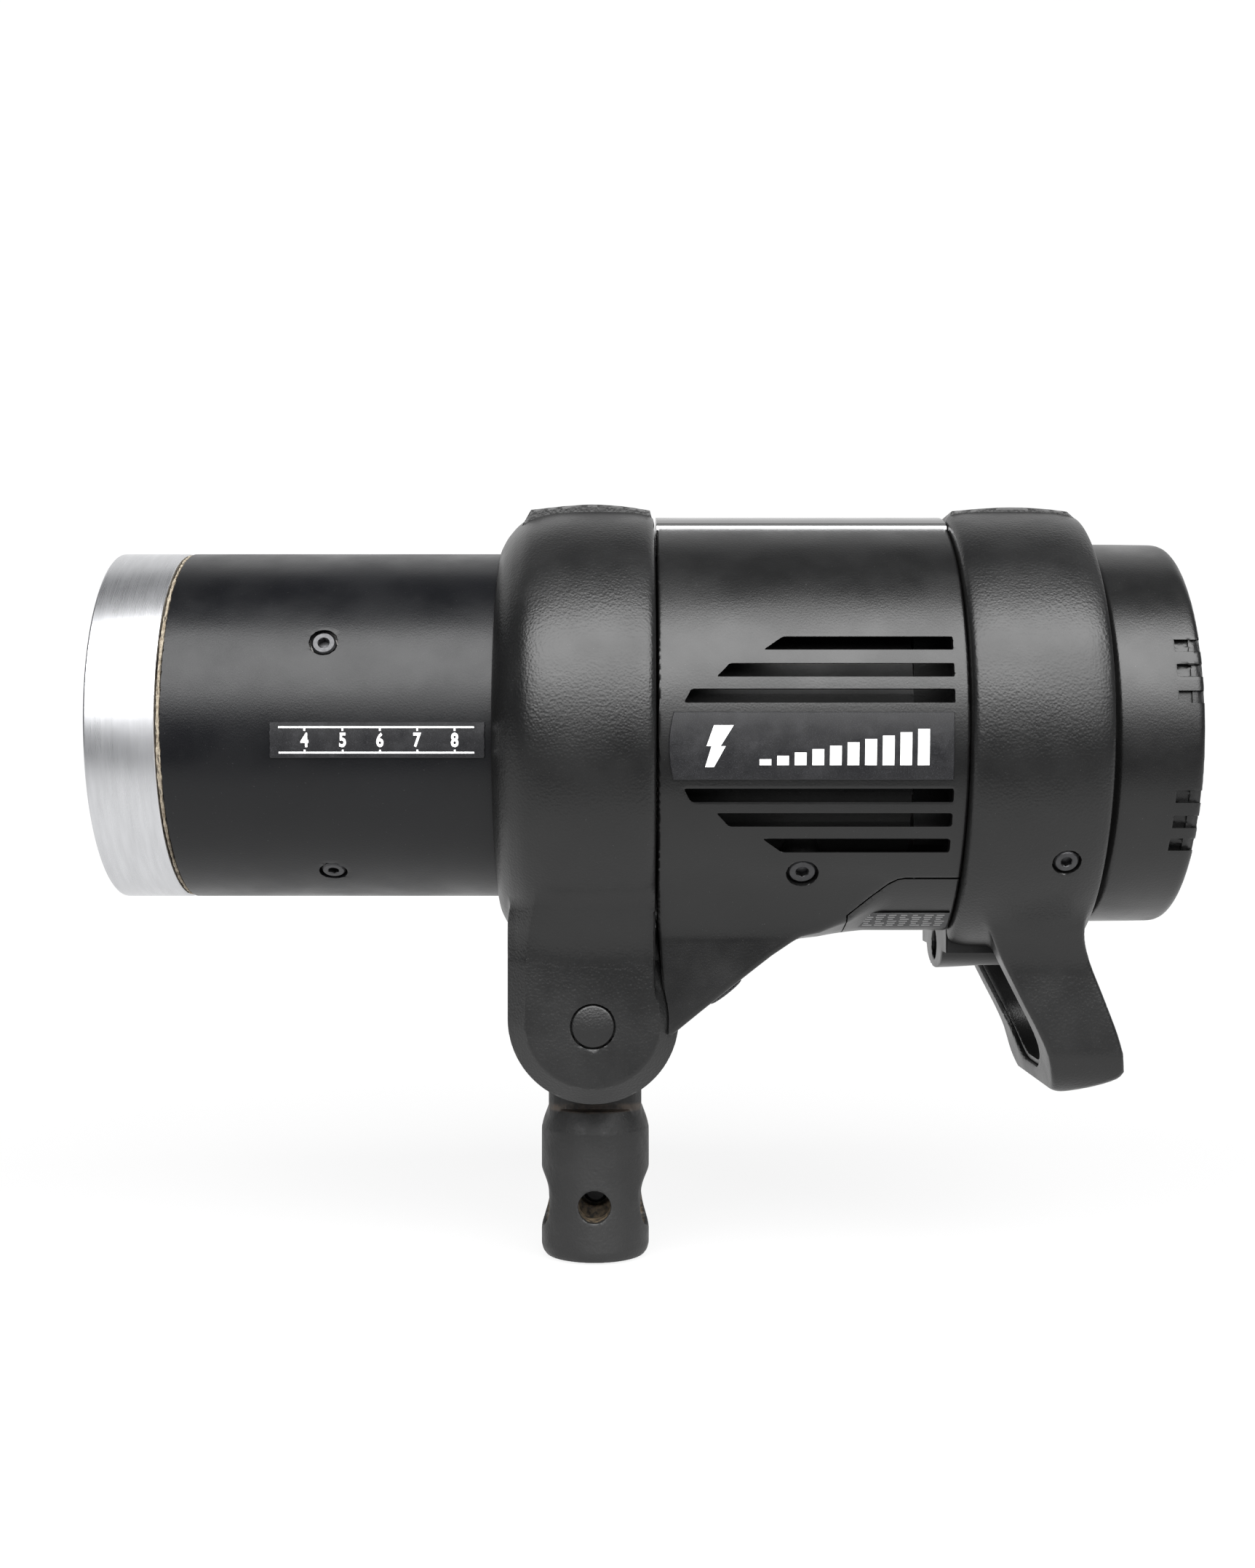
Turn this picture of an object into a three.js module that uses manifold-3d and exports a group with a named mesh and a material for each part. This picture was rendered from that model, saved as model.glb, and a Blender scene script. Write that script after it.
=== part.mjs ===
// A monolight: a studio flash head with its own power unit, hung on a tilting stand adapter.
// Millimetres, +Z up. The lamp fires towards -X, and its left side is -Y. The origin is the
// centre of the stand socket's mouth, on the underside of the stand adapter.
import * as THREE from "three";
import { mergeVertices } from "three/addons/utils/BufferGeometryUtils.js";
import Module from "manifold-3d";

const wasm = await Module();
wasm.setup();

// ---- Driving dimensions -------------------------------------------------------------------

const GAP = 0.3; // between pieces that rest on each other
const SHELL = 2.8; // moulded casing wall

const PIVOT_Z = 71; // tilt axis
const TUBE_Z = 154.5; // axis of the lamp tube
const BODY_Z = 152.6; // axis of the body, collars and rear housing

const TUBE_R = 50; // outside of the tube, which takes the 100 mm light shapers
const TUBE_BORE_R = 46.5;
const BODY_R = 61.6;
const COLLAR_R = 65;
const REAR_R = 55.5;

// Stations along the lamp, front to back.
const RING_FRONT = -136.5;
const RING_BACK = -117.3;
const TUBE_FRONT = -115.8;
const TUBE_BACK = -12;
const TUBE_SCREW_X = -72.7;
const COLLAR_FRONT = -27;
const COLLAR_BACK = 17;
const BODY_FRONT = 17.6;
const BODY_BACK = 99.2;
const REAR_COLLAR_FRONT = 99.5;
const REAR_COLLAR_BACK = 137;
const REAR_FRONT = 104;
const PANEL_FACE = 155.5;
const REAR_BACK = 163;

const BODY_FLAT_Z = 96; // the body's circle is cut flat underneath
const BELLY_HALF = 38.5;
const NECK_HALF = 40;
const LUG_R = 23.6;
const LUG_Z = 72.6; // the lugs' round ends sit a little above the tilt axis
const LUG_BEVEL = 5.1;
const LIP_HALF = 34;
const SLOT_HALF = 11; // gap between the lugs
const SLOT_TOP = 85.2;
const SLOT_R = 32.5;
const AXLE_R = 5;
const AXLE_HOLE_R = 5.3;

// The belly's front edge slants back from under the collar to its lowest point.
const BELLY_TOP = [BODY_FRONT, 100];
const BELLY_TIP = [20.3, 67.3];
const bellyFront = (z) => BELLY_TOP[0]
  + (BELLY_TIP[0] - BELLY_TOP[0]) * (BELLY_TOP[1] - z) / (BELLY_TOP[1] - BELLY_TIP[1]);

const SOCKET_R = 8.1; // takes a 16 mm stand spigot
const SOCKET_DEPTH = 38;
const ADAPTER_R = 15.7;
const LEDGE_Z = 43.1;
const TONGUE_HALF = 9;
const TONGUE_R = 13.5;
const LOCK_Z = 16.2;
const SIDE_POCKET = { y: -2.5, z: 13.9, radius: 5.6, end: 2.2 };

const PAD_HALF = 20; // flat pads on top of both collars
const STRIP_HALF = 24; // glossy strip between the pads
const UMBRELLA_Z = 90.3;
const UMBRELLA_R = 4.3; // takes an 8 mm umbrella shaft
const HANDLE_HALF = 32;
const HANDLE_OPENING_HALF = 22;
const LINER = 1.7;

// Screws in the casings: station along X, and degrees below the horizontal.
const BODY_SCREW = { x: 56.5, below: 39.8, radius: 3.8 };
const COLLAR_SCREW = { x: 126.2, below: 34, radius: 3.3 };

// Rear panel fittings: [across, up] from the body's axis.
const DISPLAY = { at: [0, 30], size: [34.4, 15.4] };
const DIAL = { at: [0, 1], radius: 15 };
const BUTTONS = [[-30, 12], [-30, -4], [30, 12], [30, -4]];
const BUTTON_SIZE = [10, 7];
const INLET = { at: [-12, -29], body: [27, 20], flange: [31, 24], cavity: [24.2, 16.4] };
const SWITCH = { at: [19, -28], size: [13, 20] };
const SYNC = { at: [-38, -18], radius: 5 };

const BIG_SIDES = 36;
const ROD_SIDES = 16;
const SMALL_SIDES = 8;

// ---- Materials ----------------------------------------------------------------------------

const finish = (color, roughness, metalness = 0) =>
  new THREE.MeshStandardMaterial({ color, roughness, metalness });

const SATIN_BLACK = finish(0x17181b, 0.45);
const SOFT_BLACK = finish(0x1a1a1b, 0.6);
const GLOSS_BLACK = finish(0x0d0d0e, 0.12);
const ANODISED = finish(0x1c1d20, 0.4, 0.6);
const BARE_ALUMINIUM = finish(0xb9babb, 0.3, 1);
const DARK_STEEL = finish(0x4a4a4a, 0.35, 1);
const BRIGHT_STEEL = finish(0xa0a0a0, 0.25, 1);
const GASKET_TAN = finish(0x8a7c68, 0.9);
const FROSTED_GLASS = finish(0xf0f2ee, 0.5);
const CLEAR_GLASS = finish(0xdfe8ea, 0.05);
const CERAMIC = finish(0xe8e4da, 0.6);
const BOARD_GREEN = finish(0x1d4a32, 0.6);
const SLEEVE_GREY = finish(0x4c4f52, 0.8);
const LABEL_BLACK = finish(0x101114, 0.35);

// ---- Building blocks ----------------------------------------------------------------------

// A closed three.js geometry as a manifold solid.
function solid(geometry) {
  const bare = geometry.index ? geometry.toNonIndexed() : geometry.clone();
  bare.deleteAttribute("normal");
  bare.deleteAttribute("uv");
  const merged = mergeVertices(bare, 1e-4);
  const corners = [];
  for (let i = 0; i < merged.index.count; i += 3) {
    const [a, b, c] = merged.index.array.slice(i, i + 3);
    if (a !== b && b !== c && c !== a) corners.push(a, b, c);
  }
  const make = (triVerts) => {
    const vertProperties = merged.attributes.position.array;
    return new wasm.Manifold(new wasm.Mesh({ numProp: 3, vertProperties, triVerts }));
  };
  const made = make(new Uint32Array(corners));
  return made.volume() >= 0 ? made : make(new Uint32Array(corners.reverse()));
}

// A manifold solid as a three.js geometry.
function geometryOf(manifold) {
  const mesh = manifold.getMesh();
  const positions = new THREE.BufferAttribute(new Float32Array(mesh.vertProperties), 3);
  const geometry = new THREE.BufferGeometry().setAttribute("position", positions);
  geometry.setIndex(new THREE.BufferAttribute(new Uint32Array(mesh.triVerts), 1));
  const faceted = geometry.toNonIndexed();
  faceted.computeVertexNormals();
  return faceted;
}

// A lathe solid about the lamp's X direction, from [x, radius] points, at height z.
function turned(profile, z, sides = BIG_SIDES) {
  const points = profile.map(([x, r]) => new THREE.Vector2(r, x));
  const lathe = new THREE.LatheGeometry(points, sides);
  return solid(lathe.rotateZ(-Math.PI / 2).translate(0, 0, z));
}

const ring = (profile, z, sides) => turned([...profile, profile[0]], z, sides);

const tubeWall = (x0, x1, inner, outer, z, sides) =>
  ring([[x0, inner], [x0, outer], [x1, outer], [x1, inner]], z, sides);

// A straight rod, or a cone, between two points.
function rod(from, to, radius, endRadius = radius, sides = ROD_SIDES) {
  const start = new THREE.Vector3(...from);
  const end = new THREE.Vector3(...to);
  const along = end.clone().sub(start);
  const geometry = new THREE.CylinderGeometry(endRadius, radius, along.length(), sides);
  const up = new THREE.Vector3(0, 1, 0);
  geometry.applyQuaternion(new THREE.Quaternion().setFromUnitVectors(up, along.normalize()));
  const middle = start.add(end).multiplyScalar(0.5);
  return solid(geometry.translate(middle.x, middle.y, middle.z));
}

function block(low, high) {
  const [x, y, z] = low.map((value, i) => high[i] - value);
  const middle = low.map((value, i) => (value + high[i]) / 2);
  return solid(new THREE.BoxGeometry(x, y, z).translate(...middle));
}

function polygon(points) {
  return new THREE.Shape(points.map(([a, b]) => new THREE.Vector2(a, b)));
}

function roundedRectangle(width, height, radius, [cx, cy] = [0, 0]) {
  const [x, y] = [width / 2 - radius, height / 2 - radius];
  const shape = new THREE.Shape();
  shape.absarc(cx + x, cy + y, radius, 0, Math.PI / 2);
  shape.absarc(cx - x, cy + y, radius, Math.PI / 2, Math.PI);
  shape.absarc(cx - x, cy - y, radius, Math.PI, 1.5 * Math.PI);
  shape.absarc(cx + x, cy - y, radius, 1.5 * Math.PI, 2 * Math.PI);
  return shape;
}

// An [x, z] outline given depth across the lamp, from y0 to y1, with an optional edge bevel.
function slabAcross(shape, y0, y1, { curveSegments = 8, bevel = 0 } = {}) {
  const options = { depth: y1 - y0 - 2 * bevel, curveSegments, bevelEnabled: bevel > 0 };
  if (bevel > 0) {
    Object.assign(options, { bevelThickness: bevel, bevelSize: bevel, bevelOffset: -bevel });
    options.bevelSegments = 1;
  }
  const geometry = new THREE.ExtrudeGeometry(shape, options);
  return solid(geometry.rotateX(Math.PI / 2).translate(0, y1 - bevel, 0));
}

// A [y, z] outline given length along the lamp, from x0 to x1.
function slabAlong(shape, x0, x1, curveSegments = 8) {
  const options = { depth: x1 - x0, curveSegments, bevelEnabled: false };
  const axes = [new THREE.Vector3(0, 1, 0), new THREE.Vector3(0, 0, 1), new THREE.Vector3(1, 0, 0)];
  const geometry = new THREE.ExtrudeGeometry(shape, options);
  geometry.applyMatrix4(new THREE.Matrix4().makeBasis(...axes));
  return solid(geometry.translate(x0, 0, 0));
}

const joined = (...pieces) => pieces.reduce((whole, piece) => whole.add(piece));
const cut = (whole, ...tools) => tools.reduce((left, tool) => left.subtract(tool), whole);

// A point on a circle about the lamp's axis, at an angle below the horizontal, on one side.
function around(radius, below, side, z) {
  const angle = THREE.MathUtils.degToRad(below);
  return [side * radius * Math.cos(angle), z - radius * Math.sin(angle)];
}

function radialRod(x, z, below, side, inner, outer, radius, sides = SMALL_SIDES) {
  const [y0, z0] = around(inner, below, side, z);
  const [y1, z1] = around(outer, below, side, z);
  return rod([x, y0, z0], [x, y1, z1], radius, radius, sides);
}

// A piece fixed to the body's axis frame on the rear panel.
const onPanel = ([across, up]) => [across, BODY_Z + up];

const monolight = new THREE.Group();

function place(name, shape, material, parent = monolight) {
  const geometry = shape.isBufferGeometry ? shape : geometryOf(shape);
  const mesh = new THREE.Mesh(geometry, material);
  mesh.name = name;
  parent.add(mesh);
  return mesh;
}

const SIDES = [["left", -1], ["right", 1]];

// ---- Stand adapter, its lock screw and the tilt friction discs ------------------------------

// Round pockets through both sides of the socket, closed towards the far side.
function sidePockets() {
  const { y, z, radius, end } = SIDE_POCKET;
  return cut(rod([-20, y, z], [20, y, z], radius, radius, 20), block([-30, end, 0], [30, 30, 40]));
}

function standAdapter() {
  const outer = [[0, 0], [14.7, 0], [ADAPTER_R, 1.5], [ADAPTER_R, 36.4], [15.2, 38.8],
    [14.2, 41.6], [TONGUE_R, LEDGE_Z], [0, LEDGE_Z]];
  const points = outer.map(([r, z]) => new THREE.Vector2(r, z));
  const barrel = solid(new THREE.LatheGeometry(points, 32).rotateX(Math.PI / 2));
  const eye = new THREE.Shape();
  eye.moveTo(TONGUE_R, LEDGE_Z - 3);
  eye.lineTo(TONGUE_R, PIVOT_Z);
  eye.absarc(0, PIVOT_Z, TONGUE_R, 0, Math.PI);
  eye.lineTo(-TONGUE_R, LEDGE_Z - 3);
  const roundBar = rod([0, 0, 30], [0, 0, 90], 14.6, 14.6, 28);
  const tongue = slabAcross(eye, -TONGUE_HALF, TONGUE_HALF);
  return cut(
    joined(barrel, tongue.intersect(roundBar)),
    rod([0, 0, -1], [0, 0, SOCKET_DEPTH], SOCKET_R, SOCKET_R, 24),
    sidePockets(),
    rod([0, -20, LOCK_Z], [0, 20, LOCK_Z], 4.65),
    rod([0, -20, PIVOT_Z], [0, 20, PIVOT_Z], AXLE_HOLE_R),
  );
}

place("stand_adapter", standAdapter(), SATIN_BLACK);

for (const [name, side] of SIDES) {
  const disc = rod([0, side * 9.3, PIVOT_Z], [0, side * 10.7, PIVOT_Z], 12.5, 12.5, 24);
  const hole = rod([0, side * 9, PIVOT_Z], [0, side * 11, PIVOT_Z], 5.5);
  place(`friction_disc_${name}`, cut(disc, hole), BRIGHT_STEEL);
}

function lockScrewShaft() {
  const point = rod([0, 8.6, LOCK_Z], [0, 9.8, LOCK_Z], 2.9, 4);
  return joined(point, rod([0, 9.8, LOCK_Z], [0, 30, LOCK_Z], 4));
}

// A hub with two wings, along Y from y0 to y1, with a blind hole for its shaft.
function wingKnob({ z, y0, y1, hubR, wingR, holeR, holeEnd, bar }) {
  const hub = rod([0, y0, z], [0, y1 - 1, z], hubR, hubR - 0.5);
  const wings = slabAcross(roundedRectangle(bar, 2 * wingR, bar / 2 - 0.1, [0, z]), y0 + 3, y1,
    { curveSegments: 4, bevel: 1.2 });
  return cut(joined(hub, wings), rod([0, y0 - 1, z], [0, holeEnd, z], holeR));
}

place("lock_screw_shaft", lockScrewShaft(), DARK_STEEL);
place("lock_knob", wingKnob({
  z: LOCK_Z, y0: 21, y1: 35, hubR: 6.5, wingR: 15, holeR: 4.3, holeEnd: 30.4, bar: 9,
}), SOFT_BLACK);

// ---- Front ring, gasket, tube and the lamp inside -------------------------------------------

const GLASS_FRONT = -131;
const GLASS_BACK = -127.5;
const SPIGOT_R = 46;

function frontMountRing() {
  return ring([
    [RING_FRONT, 46.6], [RING_FRONT, TUBE_R - 0.8], [RING_FRONT + 0.8, TUBE_R],
    [RING_BACK, TUBE_R], [RING_BACK, SPIGOT_R], [-105, SPIGOT_R], [-105, 43],
    [GLASS_BACK + GAP, 43], [GLASS_BACK + GAP, SPIGOT_R], [RING_FRONT + 0.6, SPIGOT_R],
  ], TUBE_Z);
}

place("front_mount_ring", frontMountRing(), BARE_ALUMINIUM);
place("front_gasket", tubeWall(RING_BACK + GAP, TUBE_FRONT - GAP, 46.3, 49.7, TUBE_Z), GASKET_TAN);

const TUBE_SCREWS = [["upper_left", -1, -25], ["lower_left", -1, 56.5],
  ["upper_right", 1, -25], ["lower_right", 1, 56.5]];

function frontTube() {
  const holes = TUBE_SCREWS.map(([, side, below]) =>
    radialRod(TUBE_SCREW_X, TUBE_Z, below, side, 44, 52, 3.9, 16));
  return cut(tubeWall(TUBE_FRONT, TUBE_BACK, TUBE_BORE_R, TUBE_R, TUBE_Z), ...holes);
}

place("front_tube", frontTube(), ANODISED);

// A cap screw standing on +Z: its head's top is at the origin, with a hexagon socket.
function capScrew(headR, headHeight, shaftR, length) {
  const head = rod([0, 0, -headHeight], [0, 0, 0], headR, headR - 0.35, 16);
  const shaft = rod([0, 0, -length], [0, 0, 0.2 - headHeight], shaftR, shaftR, SMALL_SIDES);
  const socket = rod([0, 0, -0.65 * headHeight], [0, 0, 1], 0.42 * headR, 0.42 * headR, 6);
  return geometryOf(cut(joined(head, shaft), socket));
}

function placeRadially(name, geometry, x, z, below, side, radius) {
  const screw = place(name, geometry, DARK_STEEL);
  screw.position.set(x, ...around(radius, below, side, z));
  screw.rotation.x = -side * THREE.MathUtils.degToRad(90 + below);
}

const tubeScrew = capScrew(3.3, 2.6, 1.5, 7.2);
for (const [name, side, below] of TUBE_SCREWS)
  placeRadially(`tube_screw_${name}`, tubeScrew, TUBE_SCREW_X, TUBE_Z, below, side, 49.7);

// Part of a thin film wrapped on a circle, kept where it meets the given slab.
const wrappedFilm = (x0, x1, radius, z, region) =>
  tubeWall(x0, x1, radius + GAP, radius + 2 * GAP, z, 96).intersect(region);

const SCALE_LABEL = { x0: -86.4, x1: -28.8, z0: 144.3, z1: 153.9 };
const { x0: scaleX0, x1: scaleX1, z0: scaleZ0, z1: scaleZ1 } = SCALE_LABEL;
place("zoom_scale_label", wrappedFilm(scaleX0, scaleX1, TUBE_R, TUBE_Z,
  block([scaleX0 - 1, -60, scaleZ0], [scaleX1 + 1, 0, scaleZ1])), LABEL_BLACK);

place("front_glass", turned([[GLASS_FRONT, 0], [GLASS_FRONT, 45], [GLASS_FRONT + 0.6, 45.6],
  [GLASS_BACK, 45.6], [GLASS_BACK, 0]], TUBE_Z), FROSTED_GLASS);
place("glass_retainer", tubeWall(-133.2, GLASS_FRONT - GAP, 43.6, 45.7, TUBE_Z), DARK_STEEL);

place("inner_reflector", ring([[-125, 42.4], [-112, 41.2], [-98, 36], [-88, 27], [-84, 17.5],
  [-85.2, 17.2], [-89.2, 26], [-99, 34.6], [-112.4, 39.9], [-125, 41.2]], TUBE_Z), BARE_ALUMINIUM);

// The flash tube: a ring of glass tube whose two ends turn back into the lamp base.
function flashTube() {
  const ringR = 24;
  const ringX = -104;
  const open = THREE.MathUtils.degToRad(22);
  const leg = (side) => {
    const y = side * ringR * Math.sin(open);
    return [[-79.4, y, -9], [-90, y, -9], [-98, y, -13]];
  };
  const loop = [];
  for (let i = 0; i <= 12; i++) {
    const angle = open + (i / 12) * 2 * (Math.PI - open);
    loop.push([ringX, ringR * Math.sin(angle), -ringR * Math.cos(angle)]);
  }
  const points = [...leg(1), ...loop, ...leg(-1).reverse()];
  const path = new THREE.CatmullRomCurve3(points.map(([x, y, z]) => new THREE.Vector3(x, y, z)));
  const section = new THREE.Shape().absarc(0, 0, 3.4, 0, 2 * Math.PI);
  const options = { steps: 32, extrudePath: path, curveSegments: 4 };
  return solid(new THREE.ExtrudeGeometry(section, options).translate(0, 0, TUBE_Z));
}

place("flash_tube", flashTube(), CLEAR_GLASS);
place("modelling_lamp", turned([[-121, 0], [-120, 3.6], [-117, 6.4], [-112, 7.5], [-94, 7.5],
  [-90, 5.8], [-85, 5.8], [-85, 0]], TUBE_Z, 20), CLEAR_GLASS);
place("lamp_socket", turned([[-84.7, 0], [-84.7, 7.8], [-79.3, 7.8], [-79.3, 0]], TUBE_Z, 20),
  CERAMIC);

function lampBasePlate() {
  const plate = ring([[-78.4, 6], [-78.4, 46.2], [-67.6, 46.2], [-67.6, 41], [-75, 41],
    [-75, 6]], TUBE_Z);
  const holes = TUBE_SCREWS.map(([, side, below]) =>
    radialRod(TUBE_SCREW_X, TUBE_Z, below, side, 38, 48, 1.9));
  return cut(plate, ...holes);
}

place("lamp_base_plate", lampBasePlate(), CERAMIC);

// ---- Front collar with the two pivot lugs ---------------------------------------------------

const FRONT_COLLAR_CURVE = [[COLLAR_FRONT, 52.5], [-24.5, 57], [-21.3, 60.5], [-17, 63.2],
  [-10, 64.7], [0, COLLAR_R], [10, 64.8], [15.5, 64], [COLLAR_BACK, 62.5]];

// A round collar with a flat, crowned pad on top.
function paddedRound(curve, padOutline) {
  const x0 = curve[0][0];
  const x1 = curve.at(-1)[0];
  const round = turned([[x0, 0], ...curve, [x1, 0]], BODY_Z);
  const pad = slabAcross(polygon(padOutline), -PAD_HALF, PAD_HALF);
  const [low, high] = [padOutline[1], padOutline.at(-2)];
  const crown = padOutline.slice(1, -1);
  const above = slabAcross(polygon([[low[0] - 30, low[1]], ...crown, [high[0] + 30, high[1]],
    [high[0] + 30, 240], [low[0] - 30, 240]]), -PAD_HALF, PAD_HALF);
  return joined(cut(round, above), pad);
}

// The round end of the lugs, with both edges bevelled, as wide as the neck.
function lugDisc(clearance) {
  const [flat, face] = [NECK_HALF - LUG_BEVEL, NECK_HALF + clearance];
  const wide = LUG_R + 2 * clearance;
  const narrow = wide - LUG_BEVEL - clearance;
  const end = (side) =>
    rod([0, side * flat, LUG_Z], [0, side * face, LUG_Z], wide, narrow, BIG_SIDES);
  return joined(rod([0, -flat, LUG_Z], [0, flat, LUG_Z], wide, wide, BIG_SIDES),
    end(-1), end(1));
}

// The neck that carries the lugs, seen from the side, with its round end.
function neckBlock() {
  const shape = new THREE.Shape();
  const rearEdge = COLLAR_BACK + LUG_BEVEL;
  shape.moveTo(-LUG_R, 112);
  shape.lineTo(-LUG_R, LUG_Z);
  shape.absarc(0, LUG_Z, LUG_R, Math.PI, 2 * Math.PI + Math.acos(rearEdge / LUG_R));
  shape.lineTo(rearEdge, 112);
  const options = { curveSegments: 18, bevel: LUG_BEVEL };
  const beveled = slabAcross(shape, -NECK_HALF, NECK_HALF, options);
  const neck = cut(beveled, cut(block([COLLAR_BACK, -50, LUG_Z], [60, 50, 130]), lugDisc(0)));
  return joined(neck, lightLip());
}

// A lip behind the neck that follows the body's slanting front edge and closes the gap to it.
function lightLip() {
  const [low, middle, high] = [86, BODY_FLAT_Z - 0.5, 104];
  const face = COLLAR_BACK + GAP / 2;
  const outline = polygon([[COLLAR_BACK - 3, high], [COLLAR_BACK - 3, low],
    [bellyFront(low) - GAP, low], [bellyFront(middle) - GAP, middle], [face, middle],
    [face, high]]);
  return slabAcross(outline, -LIP_HALF, LIP_HALF);
}

// Concave flares from the neck's flat sides into the round collar.
function neckFlares() {
  const [wideY, wideZ] = [50.8, 112];
  const shape = new THREE.Shape();
  shape.moveTo(-wideY, wideZ);
  shape.quadraticCurveTo(-NECK_HALF, 98.5, -NECK_HALF, 88);
  shape.lineTo(NECK_HALF, 88);
  shape.quadraticCurveTo(NECK_HALF, 98.5, wideY, wideZ);
  return slabAlong(shape, LUG_BEVEL - LUG_R, COLLAR_BACK, 6);
}

const lugSlot = () => block([-60, -SLOT_HALF, 30], [60, SLOT_HALF, SLOT_TOP]);
const umbrellaShaft = (x0, x1, radius) => rod([x0, 0, UMBRELLA_Z], [x1, 0, UMBRELLA_Z], radius);

function frontCollar() {
  const round = paddedRound(FRONT_COLLAR_CURVE,
    [[-21.6, 208.6], [-17.9, 215.1], [-0.8, 216.6], [15.8, 214.9], [COLLAR_BACK, 209]]);
  return cut(
    joined(round, neckBlock(), neckFlares()),
    rod([-40, 0, TUBE_Z], [-10, 0, TUBE_Z], TUBE_R + 0.5, TUBE_R + 0.5, BIG_SIDES),
    rod([-15, 0, BODY_Z], [40, 0, BODY_Z], 57.2, 57.2, BIG_SIDES),
    lugSlot(),
    rod([0, -60, PIVOT_Z], [0, 60, PIVOT_Z], AXLE_HOLE_R),
    rod([0, -60, PIVOT_Z], [0, 2.2 - NECK_HALF, PIVOT_Z], 6.2),
    umbrellaShaft(-40, 40, UMBRELLA_R),
  );
}

place("front_collar", frontCollar(), SOFT_BLACK);
place("pivot_axle", rod([0, 2.5 - NECK_HALF, PIVOT_Z], [0, 50, PIVOT_Z], AXLE_R), BRIGHT_STEEL);
place("pivot_cap", rod([0, -NECK_HALF - 0.2, PIVOT_Z], [0, 2 - NECK_HALF - 0.1, PIVOT_Z],
  5.6, 5.8, 24), SOFT_BLACK);
place("tilt_knob", wingKnob({
  z: PIVOT_Z, y0: 40.5, y1: 58, hubR: 9, wingR: 20, holeR: AXLE_HOLE_R, holeEnd: 50.4, bar: 11,
}), SOFT_BLACK);

// ---- Body: two side shells, a top strip and a bottom cover ----------------------------------

// The body's round section, cut flat underneath.
function flatBottomed(radius, flatZ) {
  const below = Math.asin((BODY_Z - flatZ) / radius);
  return new THREE.Shape().absarc(0, BODY_Z, radius, -below, Math.PI + below);
}

function tongueRoom() {
  const round = rod([0, -SLOT_HALF, PIVOT_Z], [0, SLOT_HALF, PIVOT_Z], SLOT_R, SLOT_R, 32);
  return round.intersect(lugSlot());
}

const THUMB_AT = [35.9, 0, 79.4];
const THUMB_DIRECTION = [-0.616, 0, 0.788]; // into the belly, square to its slope
const alongThumb = (distance) =>
  THUMB_AT.map((value, i) => value + distance * THUMB_DIRECTION[i]);

// Cooling vents above and below the badge: height, and the front end of each long edge.
const VENT_BACK = 95.3;
const VENT_HALF = 1.8;
const VENTS = [
  { z: 160.4, tip: 24.2, far: 26.2, up: 1 }, { z: 167.3, tip: 32.9, far: 36.4, up: 1 },
  { z: 174.5, tip: 45.3, far: 50.5, up: 1 }, { z: 134.3, tip: 24.2, far: 26.2, up: -1 },
  { z: 127.8, tip: 32.9, far: 36.4, up: -1 }, { z: 120.9, tip: 45.3, far: 50.5, up: -1 },
];

function ventCuts(side) {
  const [near, far] = [side * 48, side * 70];
  return VENTS.map(({ z, tip, far: farTip, up }) => {
    const [inner, outer] = [z - up * VENT_HALF, z + up * VENT_HALF];
    const outline = polygon([[tip, inner], [VENT_BACK, inner], [VENT_BACK, outer],
      [farTip, outer]]);
    return slabAcross(outline, Math.min(near, far), Math.max(near, far));
  });
}

function bodyShell() {
  const round = slabAlong(flatBottomed(BODY_R, BODY_FLAT_Z), BODY_FRONT, BODY_BACK, BIG_SIDES);
  const hollow = slabAlong(flatBottomed(BODY_R - SHELL, BODY_FLAT_Z + SHELL), 0, 120, BIG_SIDES);
  const belly = slabAcross(polygon([[BODY_FRONT, 118], BELLY_TOP, BELLY_TIP,
    [57, 95.6], [62, 97], [69, 101], [75, 110]]), -BELLY_HALF, BELLY_HALF, { bevel: 2.5 });
  const bellyHollow = slabAcross(polygon([[24, 114], [24, 75.2], [54.5, 98.8], [66, 104],
    [70, 114]]), SHELL - BELLY_HALF, BELLY_HALF - SHELL);
  const bosses = SIDES.map(([, side]) =>
    radialRod(BODY_SCREW.x, BODY_Z, BODY_SCREW.below, side, 52, 60.5, 5.4, 16));
  const recesses = SIDES.flatMap(([, side]) => [
    radialRod(BODY_SCREW.x, BODY_Z, BODY_SCREW.below, side, 58.6, 64, 4.3, 16),
    radialRod(BODY_SCREW.x, BODY_Z, BODY_SCREW.below, side, 50, 60, 1.9),
  ]);
  const wall = cut(joined(round, belly), hollow, bellyHollow);
  return cut(
    joined(wall, ...bosses),
    ...recesses,
    lugDisc(GAP),
    tongueRoom(),
    umbrellaShaft(10, 80, UMBRELLA_R),
    rod(alongThumb(-12), alongThumb(9), 2.9),
    ...ventCuts(-1),
    ...ventCuts(1),
  );
}

// What the bottom cover takes out of the body, seen from the side: its seam rises in an S.
function coverRegion(inset) {
  const [front, back, bottom, top] = [69.3 + inset, 110, 60, 112 - inset];
  const seam = [[front, 101.5 - inset], [76 + inset, 107.2 - inset], [80 + inset, 110.4 - inset],
    [82.2 + inset, 111.6 - inset], [84.5 + inset, top]];
  return slabAcross(polygon([[front, bottom], ...seam, [back, top], [back, bottom]]), -60, 60);
}

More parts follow.
